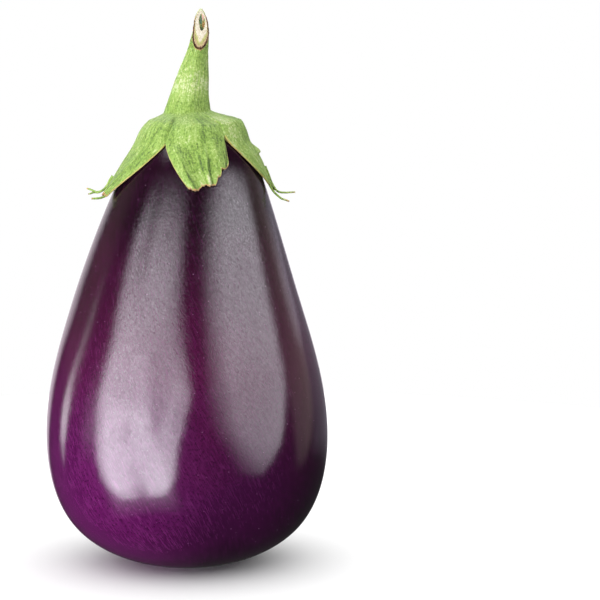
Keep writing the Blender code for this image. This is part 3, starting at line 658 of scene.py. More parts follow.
def addPoints(sheet, points, turn=0.0, along=0.0, edge=calyx["farFromEdge"], dry=0.0, tone=0.0,
              outside=1.0):
    points = np.asarray(points, dtype=float).reshape(-1, 3)
    size = len(points)
    radius = calyx["fibreRadius"]
    turn, along = np.broadcast_arrays(np.radians(turn), along)
    fibre = np.stack([radius * np.sin(turn), -radius * np.cos(turn), along], axis=-1)
    sheet["points"].append(points)
    sheet["fibre"].append(np.broadcast_to(fibre, (size, 3)))
    for label, value in (("edge", edge), ("dry", dry), ("tone", tone), ("outside", outside)):
        sheet[label].append(np.broadcast_to(np.asarray(value, dtype=float), size))
    sheet["count"] += size
    return np.arange(sheet["count"] - size, sheet["count"])


# Faces between two lines of as many points
def joinLines(sheet, upper, lower, closed=True):
    for k in range(len(upper) if closed else len(upper) - 1):
        n = (k + 1) % len(upper)
        sheet["faces"].append((upper[k], upper[n], lower[n], lower[k]))


def closeRing(sheet, ring, middle):
    for k in range(len(ring)):
        sheet["faces"].append((ring[k], ring[(k + 1) % len(ring)], middle))


def calyxRelief(fibre, point):
    across, along = calyx["fibreAcross"], calyx["fibreAlong"]
    lengthwise = Vector((fibre[0] / across, fibre[1] / across, fibre[2] / along))
    return (calyx["fibreRelief"] * noise.noise(lengthwise)
            + calyx["lumpRelief"] * noise.noise(Vector(tuple(point / calyx["lumpSize"]))))


def buildMesh(sheet, name, materials, relief=None):
    mesh = bpy.data.meshes.new(name)
    points, fibres, outside = (np.concatenate(sheet[label]) for label in ("points", "fibre", "outside"))
    mesh.from_pydata([tuple(p * mm) for p in points], [], [tuple(map(int, f)) for f in sheet["faces"]])
    faceOutwards(mesh)
    if relief:
        normals = np.zeros(3 * len(points))
        mesh.vertex_normals.foreach_get("vector", normals)
        depths = np.array([share * relief(fibre, point) if share > 0 else 0.0
                           for fibre, point, share in zip(fibres, points, outside)])
        points = points + normals.reshape(-1, 3) * depths[:, None]
        mesh.vertices.foreach_set("co", np.ravel(points * mm))
    mesh.attributes.new("fibre", "FLOAT_VECTOR", "POINT").data.foreach_set("vector", np.ravel(fibres * mm))
    for label in ("edge", "dry", "tone"):
        values = mesh.attributes.new(label, "FLOAT", "POINT").data
        values.foreach_set("value", np.concatenate(sheet[label]))
    mesh.shade_smooth()
    mesh.update()
    return linkObject(name, mesh, *materials)


# One lobe: an outer and an inner face that meet in a rounded margin
def buildLobe(sheet, index, turns, outerRoot, underRoot, alongRoot):
    lobe, rows = calyx["lobes"][index], calyx["rows"]
    count = lobe["columns"]
    across = np.arange(count + 1) / count
    outer, under = [outerRoot], [underRoot]
    tipArc = lobePlace(index, across, 1.0 + 0 * across)[1]
    tipWidth = np.radians(lobe["corners"][1] - lobe["corners"][0]) * calyx["tipRadius"]
    for row in range(1, rows + 1):
        share = row / rows
        down = np.full(count + 1, share)
        azimuth, arc = lobePlace(index, across, down)
        low, high, tone = lobeHeights(index, across, down, azimuth, arc)
        width = tipWidth + (1 - share) * calyx["rootWidth"]
        edge = np.minimum(np.minimum(across, 1 - across) * width, tipArc - arc)
        along = alongRoot + arc - calyx["collarArc"]
        before, beyond = calyx["tipDries"]
        dry = calyx["tipDryness"] * smoothStep(arc, tipArc - before, tipArc + beyond)
        pale = calyx["marginTone"] * (1 - smoothStep(edge, *calyx["marginFades"]))
        # The outer face's tone holds painted light and shade of ribs, folds and shoulders, and the paler
        # margin
        outer.append(addPoints(sheet, skinPoint(azimuth, arc, high), turns, along, edge, dry=dry,
                               tone=tone + paintedShoulderLightAndShade(azimuth, arc) + pale,
                               outside=np.clip(edge / calyx["reliefStart"], 0, 1)))
        under.append(addPoints(sheet, skinPoint(azimuth, arc, low), turns, along, edge,
                               tone=calyx["undersideTone"], outside=0.0))
    for sheetRows in (outer, under):
        for upper, lower in zip(sheetRows, sheetRows[1:]):
            joinLines(sheet, upper, lower, closed=False)

    # The margin's own line of points: left side, tip and right side
    loop = [(r, 0) for r in range(rows + 1)] + [(rows, k) for k in range(1, count + 1)]
    loop += [(r, count) for r in range(rows - 1, -1, -1)]
    line = np.array(loop[1:-1])
    a, d = line[:, 1] / count, line[:, 0] / rows
    azimuth, arc = lobePlace(index, a, d)
    low, high, _ = lobeHeights(index, a, d, azimuth, arc)
    sideways = calyx["marginReach"] * ((a == 1).astype(float) - (a == 0))
    atTip = (d == 1).astype(float)
    sideDryness, tipDryness = calyx["marginDryness"]
    azimuth = azimuth + np.degrees(sideways / np.interp(arc, arcs, outline[:, 0]))
    rim = addPoints(sheet, skinPoint(azimuth, arc + calyx["tipReach"] * atTip, (low + high) / 2),
                    turns[line[:, 1]], alongRoot + arc - calyx["collarArc"], 0.0,
                    dry=sideDryness + (tipDryness - sideDryness) * atTip, outside=0.0)
    rim = [None, *rim, None]
    for step in range(len(loop) - 1):
        (r0, k0), (r1, k1) = loop[step], loop[step + 1]
        for rowsOf in (outer, under):
            corners = (rowsOf[r0][k0], rowsOf[r1][k1], rim[step + 1], rim[step])
            sheet["faces"].append(tuple(c for c in corners if c is not None))
    for k, m in ((0, rim[1]), (count, rim[-2])):        # the root's two layers, closed at each notch
        sheet["faces"].append((outer[0][k], under[0][k], m))


def buildCalyx(material):
    sheet = newSheet()
    shares = [np.arange(lobe["columns"]) / lobe["columns"] for lobe in calyx["lobes"]]

    # One value or point for each column round the calyx, worked out lobe by lobe
    def perColumn(rule):
        return np.concatenate([rule(index, across) for index, across in enumerate(shares)])

    turns, rootArcs = (perColumn(lambda index, across: rootPlace(index, across)[k]) for k in (0, 1))
    levels, waves = cutLevel(turns), calyx["dryWaves"]
    ragged = np.array([noise.noise(Vector((waves * math.sin(t), waves * math.cos(t), 3.0)))
                       for t in np.radians(turns)])
    away = np.abs((turns - calyx["driestTurn"] + 180) % 360 - 180)
    fresh = smoothStep(away, calyx["freshFrom"], calyx["freshTo"])
    feet = footLevel(turns)

    # Stalk, from the cut down to its foot, then the flare and the collar down to the lobes' roots
    rings = []
    for share in np.linspace(0, 1, calyx["stalkRows"] + 1):
        height = feet + (levels - feet) * (1 - share)
        dry = np.clip(1 - (levels - height) / (calyx["dryDepth"] + calyx["drySpread"] * ragged), 0, 1)
        points = stalkPoint(turns, height, calyx["drySwelling"] * dry)
        # Painted light and shade down the stalk, and the fresh cut rim's own paler colour
        tone = straight(calyx["stalkPaintedLightAndShade"], share) + calyx["freshTone"] * fresh * dry
        rings.append(addPoints(sheet, points, turns, calyx["stalkTop"] - height, dry=dry * (1 - fresh),
                               tone=tone))
    alongFoot = calyx["stalkTop"] - calyx["stalkFoot"]
    # The flare and the collar take the shoulders' painted light and shade as their tone
    for share in np.arange(1, calyx["flareRows"] + 1) / calyx["flareRows"]:
        points = perColumn(lambda index, across: flarePoint(index, across, 1 - share))
        rings.append(addPoints(sheet, points, turns, alongFoot + calyx["flareLength"] * share,
                               tone=calyx["footTone"] * (1 - share)
                               + paintedShoulderLightAndShade(turns, calyx["collarArc"] * share)))
    alongCollar = alongFoot + calyx["flareLength"]
    for share in np.arange(1, calyx["collarRows"] + 1) / calyx["collarRows"]:
        levelArcs = calyx["collarArc"] + (rootArcs - calyx["collarArc"]) * share
        points = perColumn(lambda index, across: collarPoint(
            index, across, calyx["collarArc"] + (rootPlace(index, across)[1] - calyx["collarArc"]) * share))
        rings.append(addPoints(sheet, points, turns, alongCollar + levelArcs - calyx["collarArc"],
                               tone=paintedShoulderLightAndShade(turns, levelArcs)))
    for upper, lower in zip(rings, rings[1:]):
        joinLines(sheet, upper, lower)

    # The hole in the stalk's end, which holds the wood
    points = stalkPoint(turns, levels, -calyx["rimWidth"]) - [0, 0, calyx["rimDrop"]]
    mouth = addPoints(sheet, points, dry=1 - fresh, tone=calyx["mouthTone"] * fresh, outside=0.0)
    joinLines(sheet, rings[0], mouth)
    points = stalkPoint(turns, 0 * turns + calyx["holeFoot"], -calyx["holeInset"])
    foot = addPoints(sheet, points, outside=0.0)
    joinLines(sheet, mouth, foot)
    centre = [float(through(calyx["stalkCentre"], calyx["holeFoot"])), 0, calyx["holeFoot"]]
    closeRing(sheet, foot, addPoints(sheet, centre, outside=0.0)[0])

    # Underside, from the lobes' roots to the crown
    innerRoot = addPoints(sheet, skinPoint(turns, rootArcs, calyx["gap"]), outside=0.0)
    ring = innerRoot
    for arc in calyx["seatArcs"]:
        points = skinPoint(turns, np.minimum(rootArcs, arc), calyx["gap"])
        following = addPoints(sheet, points, outside=0.0)
        joinLines(sheet, ring, following)
        ring = following
    closeRing(sheet, ring, addPoints(sheet, skinPoint(0.0, 0.0, calyx["gap"]), outside=0.0)[0])

    start = 0
    for index, lobe in enumerate(calyx["lobes"]):
        picks = [(start + k) % len(turns) for k in range(lobe["columns"] + 1)]
        buildLobe(sheet, index, turns[picks], rings[-1][picks], innerRoot[picks], alongCollar)
        start += lobe["columns"]
    return buildMesh(sheet, "calyxAndStalk", [material], calyxRelief)


# Calyx and stalk: living leaf and stalk tissue, grown, under a felt of tiny hairs. So it is matt, with
# fine pale strokes along its fibres on green, and its torn edges have dried tan. Real hairs are about
# 0.05 mm thick and fibres 0.2 mm, so both are drawn coarser, as tufts and strokes that show.
def downyCalyxTissue():
    look = {
        # from painted shade in its creases to its palest fibres, then what has dried
        "greens": [(0.05, "#233410"), (0.3, "#42571c"), (0.5, "#556d27"), (0.72, "#677b3e"),
                   (0.92, "#848968"), (1.0, "#8f9272")],
        "dryEdge": "#8a8145", "tan": "#80623f", "scorch": "#33240f",
        "fibreWidth": 0.5, "fibreLength": 4.0, "feltSize": 0.8, "patchSize": 5.0,
        "reliefDepth": 0.12, "roughness": (0.5, 0.67),
        "fibreShare": 1.1, "feltShare": 1.3, "patchShare": 0.35, "toneShare": 0.42,
        "dryWidth": 0.2, "wornUnevenness": 1.6,
    }
    material, tree, shader = newMaterial("downyCalyxTissue", {
        "IOR": 1.42, "Specular IOR Level": 0.2, "Sheen Weight": 0.05,
        "Sheen Roughness": 0.6, "Subsurface Weight": 0.06, "Subsurface Scale": 0.001})
    place = addNode(tree, "TexCoord", out="Object")
    fibre = addNode(tree, "Attribute", out="Vector", attribute_name="fibre")
    edge, dry, tone = (addNode(tree, "Attribute", out="Fac", attribute_name=label)
                       for label in ("edge", "dry", "tone"))
    across, along = 1 / (look["fibreWidth"] * mm), 1 / (look["fibreLength"] * mm)
    lengthwise = addNode(tree, "VectorMath", [fibre, (across, across, along)], "MULTIPLY")
    fibres = addNode(tree, "TexNoise", {
        "Vector": lengthwise, "Scale": 1.0, "Detail": 3.0, "Roughness": 0.6, "Distortion": 1.0})
    felt, patches = (addNode(tree, "TexNoise", {
        "Vector": place, "Scale": 1 / (look[size] * mm), "Detail": 3.0, "Roughness": 0.65})
        for size in ("feltSize", "patchSize"))
    # The tone brings painted light and shade from folds, ribs, shoulders and stalk into the green
    value = addNode(tree, "Math", [tone, look["toneShare"], 0.5], "MULTIPLY_ADD")
    for pattern, share in ((fibres, "fibreShare"), (felt, "feltShare"), (patches, "patchShare")):
        uneven = addNode(tree, "Math", [pattern, 0.5], "SUBTRACT")
        value = addNode(tree, "Math", [uneven, look[share], value], "MULTIPLY_ADD")
    base = addNode(tree, "ValToRGB", [value], stops=look["greens"])

    # Torn edges and cuts have dried: pale, then tan, and dark brown at the worst
    torn = addNode(tree, "MapRange", [edge, look["dryWidth"], 0.0, 0.0, 0.7])
    patch = addNode(tree, "MapRange", [patches, 0.5, 0.6, 0.0, 0.8])
    worn = addNode(tree, "Math", [felt, 0.5], "SUBTRACT")
    worn = addNode(tree, "Math", [worn, look["wornUnevenness"], dry], "MULTIPLY_ADD")
    layers = [
        (torn, look["dryEdge"]), (addNode(tree, "Math", [torn, patch], "MULTIPLY"), look["tan"]),
        (addNode(tree, "MapRange", [worn, 0.35, 0.65, 0.0, 0.85]), look["tan"]),
        (addNode(tree, "MapRange", [worn, 0.7, 1.0, 0.0, 0.9]), look["scorch"])]
    relief = addNode(tree, "Math", [felt, 0.5, fibres], "MULTIPLY_ADD")
    finishMaterial(tree, shader, base, layers, relief, look)
    return material


calyxMaterial = downyCalyxTissue()
standFor(buildCalyx(calyxMaterial), "calyx_and_stem")

# Torn threads of the calyx that hang free, as (x, y, z, radius). Each starts inside a lobe, but for the
# second, which branches from the first.
threads = {
    "lines": [
        [(-25.6, -2.2, 137.9, 0.75), (-26.62, -2.5, 136.42, 0.7), (-27.55, -3.0, 134.87, 0.55),
         (-28.59, -3.4, 133.6, 0.45), (-29.93, -3.5, 132.73, 0.42), (-31.37, -3.2, 132.35, 0.45),
         (-32.23, -3.0, 132.61, 0.4), (-33.17, -2.6, 133.0, 0.36), (-34.27, -2.0, 133.37, 0.34),
         (-35.04, -1.6, 133.51, 0.26)],
        [(-31.0, -3.3, 132.5, 0.3), (-32.13, -3.3, 132.3, 0.32), (-32.92, -3.6, 132.21, 0.32),
         (-33.6, -4.0, 131.92, 0.3), (-34.39, -4.2, 131.73, 0.22)],
        [(-25.9, -3.2, 133.6, 0.6), (-27.47, -3.5, 131.81, 0.5), (-28.68, -4.0, 130.93, 0.42),
         (-30.07, -4.3, 130.43, 0.4), (-31.64, -4.5, 130.27, 0.4), (-33.19, -4.5, 130.24, 0.36)],
        [(27.6, 0.5, 141.2, 0.7), (28.66, 0.5, 138.82, 0.6), (29.71, 0.5, 136.34, 0.46),
         (30.81, 0.3, 134.16, 0.4), (31.87, 0.0, 132.7, 0.38), (33.07, -0.3, 132.09, 0.36),
         (35.02, -0.5, 131.97, 0.34), (36.8, -0.5, 132.1, 0.32), (38.44, -0.5, 132.14, 0.28)],
        [(26.6, -1.2, 140.6, 0.6), (27.62, -1.5, 138.46, 0.5), (28.86, -2.0, 136.02, 0.42),
         (29.92, -2.4, 133.94, 0.38), (31.26, -2.8, 132.1, 0.38), (33.27, -3.2, 130.33, 0.36),
         (34.9, -3.4, 129.7, 0.34), (36.34, -3.5, 129.16, 0.28)],
    ],
    "spacing": 0.25, "sides": 10, "waviness": 0.22, "waveSize": 2.2, "seed": 4.0,
    "tone": 0.2, "driesFrom": 0.86, "dryness": 0.75,        # share of the length, and how dry the end is
}


# Threads by rule: evenly spaced points along each line, a round section swept along, a slight waviness
def buildThreads(material):
    tree, identifiers, size, result = newTree("threadsByRule", {
        "Lines": "Object", "Spacing": "Float", "Sides": "Int", "Waviness": "Float", "Wave size": "Float",
        "Seed": "Float", "Tissue": "Material"})
    lines = addNode(tree, "GeometryNodeObjectInfo", [size["Lines"]], out="Geometry")
    smooth = addNode(tree, "GeometryNodeCurveSplineType", {"Curve": lines}, spline_type="CATMULL_ROM")
    lines = addNode(tree, "GeometryNodeResampleCurve", {
        "Curve": smooth, "Length": size["Spacing"]}, mode="LENGTH")
    section = addNode(tree, "GeometryNodeCurvePrimitiveCircle", {
        "Resolution": size["Sides"], "Radius": 1.0}, mode="RADIUS")
    place = addNode(tree, "GeometryNodeInputPosition")
    radius = addNode(tree, "GeometryNodeInputRadius")
    onLine = addNode(tree, "GeometryNodeSplineParameter", out=None).outputs
    along = addNode(tree, "CombineXYZ", [0, 0, onLine["Length"]])
    dry = addNode(tree, "MapRange", [onLine["Factor"], threads["driesFrom"], 1.0, 0.0, threads["dryness"]])
    for label, value, kind in (("tone", threads["tone"], "FLOAT"), ("edge", calyx["farFromEdge"], "FLOAT"),
                               ("fibre", along, "FLOAT_VECTOR"), ("dry", dry, "FLOAT")):
        lines = addNode(tree, "GeometryNodeStoreNamedAttribute", {
            "Geometry": lines, "Name": label, "Value": value}, data_type=kind, domain="POINT")
    lines = addNode(tree, "GeometryNodeSetCurveRadius", {"Curve": lines, "Radius": radius})
    tubes = addNode(tree, "GeometryNodeCurveToMesh", {
        "Curve": lines, "Profile Curve": section, "Fill Caps": True, "Scale": radius})
    perSize = addNode(tree, "Math", [1.0, size["Wave size"]], "DIVIDE")
    waves = addNode(tree, "TexNoise", {
        "Vector": place, "Scale": perSize, "W": size["Seed"], "Detail": 1.0},
        noise_dimensions="4D", out="Color")
    shift = addNode(tree, "VectorMath", [waves, (0.5, 0.5, 0.5)], "SUBTRACT")
    shift = addNode(tree, "VectorMath", {0: shift, 3: size["Waviness"]}, "SCALE")
    tubes = addNode(tree, "GeometryNodeSetPosition", {"Geometry": tubes, "Offset": shift})
    endTree(tree, tubes, size["Tissue"], result)
    return bakeNodes("calyxThreads", tree, identifiers, pathObject("threadLines", threads["lines"]), {
        "Spacing": threads["spacing"] * mm, "Sides": threads["sides"], "Seed": threads["seed"],
        "Waviness": threads["waviness"] * mm, "Wave size": threads["waveSize"] * mm, "Tissue": material})


standFor(buildThreads(calyxMaterial), "calyx_and_stem")

# The slanting cut shows the wood, the dried cortex round it, and the pith shrunken into a hollow. The wood's
# edge is (azimuth, share of the stalk's radius), and it comes to a point in front, a little to the left.
cutEnd = {
    "sides": 120, "foot": 178.0, "footRadius": 1.2, "rimGap": 0.05, "thinnestCortex": 0.01,
    "sharpAngle": 50.0,
    "woodEdge": [(-180, 0.93), (-130, 0.94), (-108, 0.87), (-90, 0.74), (-73, 0.65), (-52, 0.53),
                 (-34, 0.47), (-16, 0.52), (1, 0.62), (8, 0.64), (16.5, 0.6), (38, 0.52), (50, 0.52),
                 (62.6, 0.555), (78, 0.65), (93, 0.75), (113, 0.86), (140, 0.92), (180, 0.93)],
    "raggedWood": 0.02, "raggedWaves": 4.0, "woodProud": 0.02,
    "woodShares": [0.0, 0.15, 0.4, 0.7, 1.0],               # rings from the wood's edge in to the pith's
    "cortexSink": 0.15, "cortexSlope": 1.6, "cortexLumps": 0.16,
    "cortexShares": [0.0, 0.08, 0.3, 0.55, 0.8, 0.97],      # rings from the rim in to the wood's edge
    "pithShift": (0.28, 1.02), "pithRadius": (1.32, 1.25), "pithTaper": 0.22, "pithDepth": 1.5,
    "pithLumps": 0.22, "pithWaves": 3, "pithTwist": 200, "lumpsWithin": 0.9,
    # rings down the hollow, as (share of its radius, share of its depth)
    "pithRings": [(0.95, 0.3), (0.86, 0.62), (0.66, 0.86), (0.42, 1.0), (0.2, 1.02)],
}


# Points on the slanting cut at azimuths and shares of the stalk's radius
def cutPoint(azimuth, share, drop=0.0):
    level = calyx["cutHeight"] + share * (cutLevel(azimuth) - calyx["cutHeight"])
    middle = np.stack([through(calyx["stalkCentre"], level), 0 * level, level], axis=-1)
    share = np.broadcast_to(share, level.shape)[:, None]
    down = np.stack([0 * level, 0 * level, np.broadcast_to(drop, level.shape)], axis=-1)
    return middle + share * (stalkPoint(azimuth, level) - middle) - down


def buildCutEnd(materials):
    sheet = newSheet()
    turns = np.arange(cutEnd["sides"]) * 360.0 / cutEnd["sides"] - 180.0
    sine, cosine = np.sin(np.radians(turns)), np.cos(np.radians(turns))
    radius = float(through(calyx["stalkRadius"], calyx["cutHeight"]))
    waves = cutEnd["raggedWaves"]
    ragged = np.array([noise.noise(Vector((waves * s, waves * c, 7.0))) for s, c in zip(sine, cosine)])
    rimShare = 1 - (calyx["rimWidth"] + cutEnd["rimGap"]) / radius
    woodShare = np.minimum(straight(cutEnd["woodEdge"], turns) + cutEnd["raggedWood"] * ragged,
                           rimShare - cutEnd["thinnestCortex"])
    woodX, woodY = woodShare * radius * sine, -woodShare * radius * cosine
    wide, deep = cutEnd["pithRadius"]
    shiftX, shiftY = cutEnd["pithShift"]
    pithX, pithY = wide * sine * (1 - cutEnd["pithTaper"] * np.clip(cosine, 0, 1)), -deep * cosine
    # Lines of points from the foot up and inwards, each with the material of the faces that lead to it
    rings = []
    wood, cortex, pith = range(3)

    def addRing(x, y, drop, kind, inward=0.0):
        points = cutPoint(np.degrees(np.arctan2(x, -y)), np.hypot(x, y) / radius, drop)
        rings.append((addPoints(sheet, points, turns, edge=inward), kind))

    foot = cutEnd["footRadius"]
    centre = float(through(calyx["stalkCentre"], cutEnd["foot"]))
    points = np.stack([centre + foot * sine, -foot * cosine, 0 * turns + cutEnd["foot"]], axis=-1)
    rings.append((addPoints(sheet, points, turns, edge=0.0), cortex))
    for share in cutEnd["cortexShares"]:
        reach = rimShare + (woodShare - rimShare) * share
        lumps = cutEnd["cortexLumps"] * ragged * math.sin(math.pi * share)
        sink = cutEnd["cortexSink"] * (cutEnd["cortexSlope"] - share) + lumps
        addRing(reach * radius * sine, -reach * radius * cosine, sink, cortex, share)
    for share in cutEnd["woodShares"]:
        x, y = woodX + (pithX + shiftX - woodX) * share, woodY + (pithY + shiftY - woodY) * share
        addRing(x, y, -cutEnd["woodProud"] * (1 - share), wood)
    for share, depth in cutEnd["pithRings"]:
        wave = np.sin(np.radians(turns * cutEnd["pithWaves"] + depth * cutEnd["pithTwist"]))
        lumps = cutEnd["pithLumps"] * wave * (share < cutEnd["lumpsWithin"])
        addRing(pithX * share + shiftX, pithY * share + shiftY, cutEnd["pithDepth"] * depth + lumps, pith)
    kinds = []
    for (upper, _), (lower, kind) in zip(rings, rings[1:]):
        joinLines(sheet, upper, lower)
        kinds += [kind] * len(turns)
    bottom = cutPoint(np.degrees(np.arctan2([shiftX], [-shiftY])), math.hypot(shiftX, shiftY) / radius,
                      cutEnd["pithDepth"])
    closeRing(sheet, rings[-1][0], addPoints(sheet, bottom)[0])
    closeRing(sheet, rings[0][0], addPoints(sheet, [centre, 0.0, cutEnd["foot"]])[0])
    piece = buildMesh(sheet, "cutStalkEnd", materials)
    piece.data.polygons.foreach_set("material_index", kinds + [pith] * len(turns) + [cortex] * len(turns))
    piece.data.set_sharp_from_angle(angle=math.radians(cutEnd["sharpAngle"]))
    return piece


# Wood of the stalk, cut with a knife: pale, dry and matt, with the pores of its vessels. Real vessels are
# 0.1 mm apart and less, so they are drawn coarser.
def knifeCutWood():
    look = {"grains": [(0.35, "#7e7764"), (0.6, "#918e7e")], "grain": 0.5, "pore": "#6a6048",
            "poreSpacing": 0.28, "reliefDepth": 0.05, "roughness": (0.67, 0.83)}
    material, tree, shader = newMaterial("knifeCutWood", {"IOR": 1.5, "Specular IOR Level": 0.2})
    place = addNode(tree, "TexCoord", out="Object")
    grain = addNode(tree, "TexNoise", {"Vector": place, "Scale": 1 / (look["grain"] * mm), "Detail": 3.0})
    base = addNode(tree, "ValToRGB", [grain], stops=look["grains"])
    pores = addNode(tree, "TexVoronoi", {
        "Vector": place, "Scale": 1 / (look["poreSpacing"] * mm)}, out="Distance")
    dark = addNode(tree, "MapRange", [pores, 0.2, 0.05, 0.0, 0.4])
    finishMaterial(tree, shader, base, [(dark, look["pore"])], grain, look)
    return material


# Bark and cortex round the wood, dried after the cut, so matt and blotched: olive to tan, and dark brown at
# the outside
def driedCortex():
    look = {"inwards": [(0.0, "#3a2812"), (0.2, "#7a684e"), (0.5, "#66663a"), (0.9, "#78794c")],
            "patch": 0.7, "patchShare": 0.9, "reliefDepth": 0.08, "roughness": (0.67, 0.83)}
    material, tree, shader = newMaterial("driedCortex", {"IOR": 1.45, "Specular IOR Level": 0.25})
    place = addNode(tree, "TexCoord", out="Object")
    inward = addNode(tree, "Attribute", out="Fac", attribute_name="edge")
    patch = addNode(tree, "TexNoise", {"Vector": place, "Scale": 1 / (look["patch"] * mm), "Detail": 3.0})
    uneven = addNode(tree, "Math", [patch, 0.5], "SUBTRACT")
    uneven = addNode(tree, "Math", [uneven, look["patchShare"], inward], "MULTIPLY_ADD")
    base = addNode(tree, "ValToRGB", [uneven], stops=look["inwards"])
    finishMaterial(tree, shader, base, [], patch, look)
    return material


# Pith: spongy, shrunken and turning green and brown in its hollow, so it is matt and takes deep shade. Its
# cells are about 0.1 mm across and are drawn in clumps of 0.6 mm.
def shrunkenPith():
    look = {
        "cells": [(0.35, "#23280f"), (0.5, "#4a5a26"), (0.65, "#6a5a34")], "cell": 0.6,
        "reliefDepth": 0.15, "roughness": (0.78, 0.92), "stainFades": (1.6, 0.9), "stainShare": 0.9,
        # Where it has turned other colours: place on the cut in millimetres, size, colour. The last, darkest
        # one is painted shade low in the hollow
        "stainsAndPaintedShade": [(5.7, 2.5, 0.7, "#5f6a26"), (6.05, 2.05, 0.42, "#8a6a64"), (5.3, 1.6, 0.5, "#2c4238"),
                   (6.2, 1.3, 0.42, "#684422"), (5.8, 0.4, 0.6, "#222c10")],
    }
    material, tree, shader = newMaterial("shrunkenPith", {"IOR": 1.4})
    place = addNode(tree, "TexCoord", out="Object")
    cells = addNode(tree, "TexNoise", {"Vector": place, "Scale": 1 / (look["cell"] * mm), "Detail": 2.0})
    base = addNode(tree, "ValToRGB", [cells], stops=look["cells"])
    level = addNode(tree, "VectorMath", [place, (1, 1, 0)], "MULTIPLY")
    layers = []
    for x, y, size, code in look["stainsAndPaintedShade"]:
        away = addNode(tree, "VectorMath", [level, (x * mm, y * mm, 0)], "DISTANCE", out="Value")
        away = addNode(tree, "Math", [cells, size * mm, away], "MULTIPLY_ADD")
        outer, inner = (fade * size * mm for fade in look["stainFades"])
        layers.append((addNode(tree, "MapRange", [away, outer, inner, 0.0, look["stainShare"]]), code))
    finishMaterial(tree, shader, base, layers, cells, look)
    return material


standFor(buildCutEnd([knifeCutWood(), driedCortex(), shrunkenPith()]), "stem_wood")

# The lamps hang round the fruit, far off, and everything on them is placed by its direction from the fruit
studio = {
    "aim": (0.0, 0.0, 0.075), "distance": 3.0, "unevenness": 0.16, "unevenSize": 0.35, "brightest": 20.0,
    "overhead": dict(place=(0.0, 0.1, 0.85), side=1.1, brightness=4.6),
    "floorDome": dict(place=(0.0, 0.07, 0.5), side=3.0, brightness=1.54),
    "cameraWhite": 1.0, "mirrored": 0.04, "ambient": 0.13,      # the world, to the camera, in gloss, and else
    "floorRadius": 0.36, "floorSides": 128, "floorColour": "#f4f4f4",
}

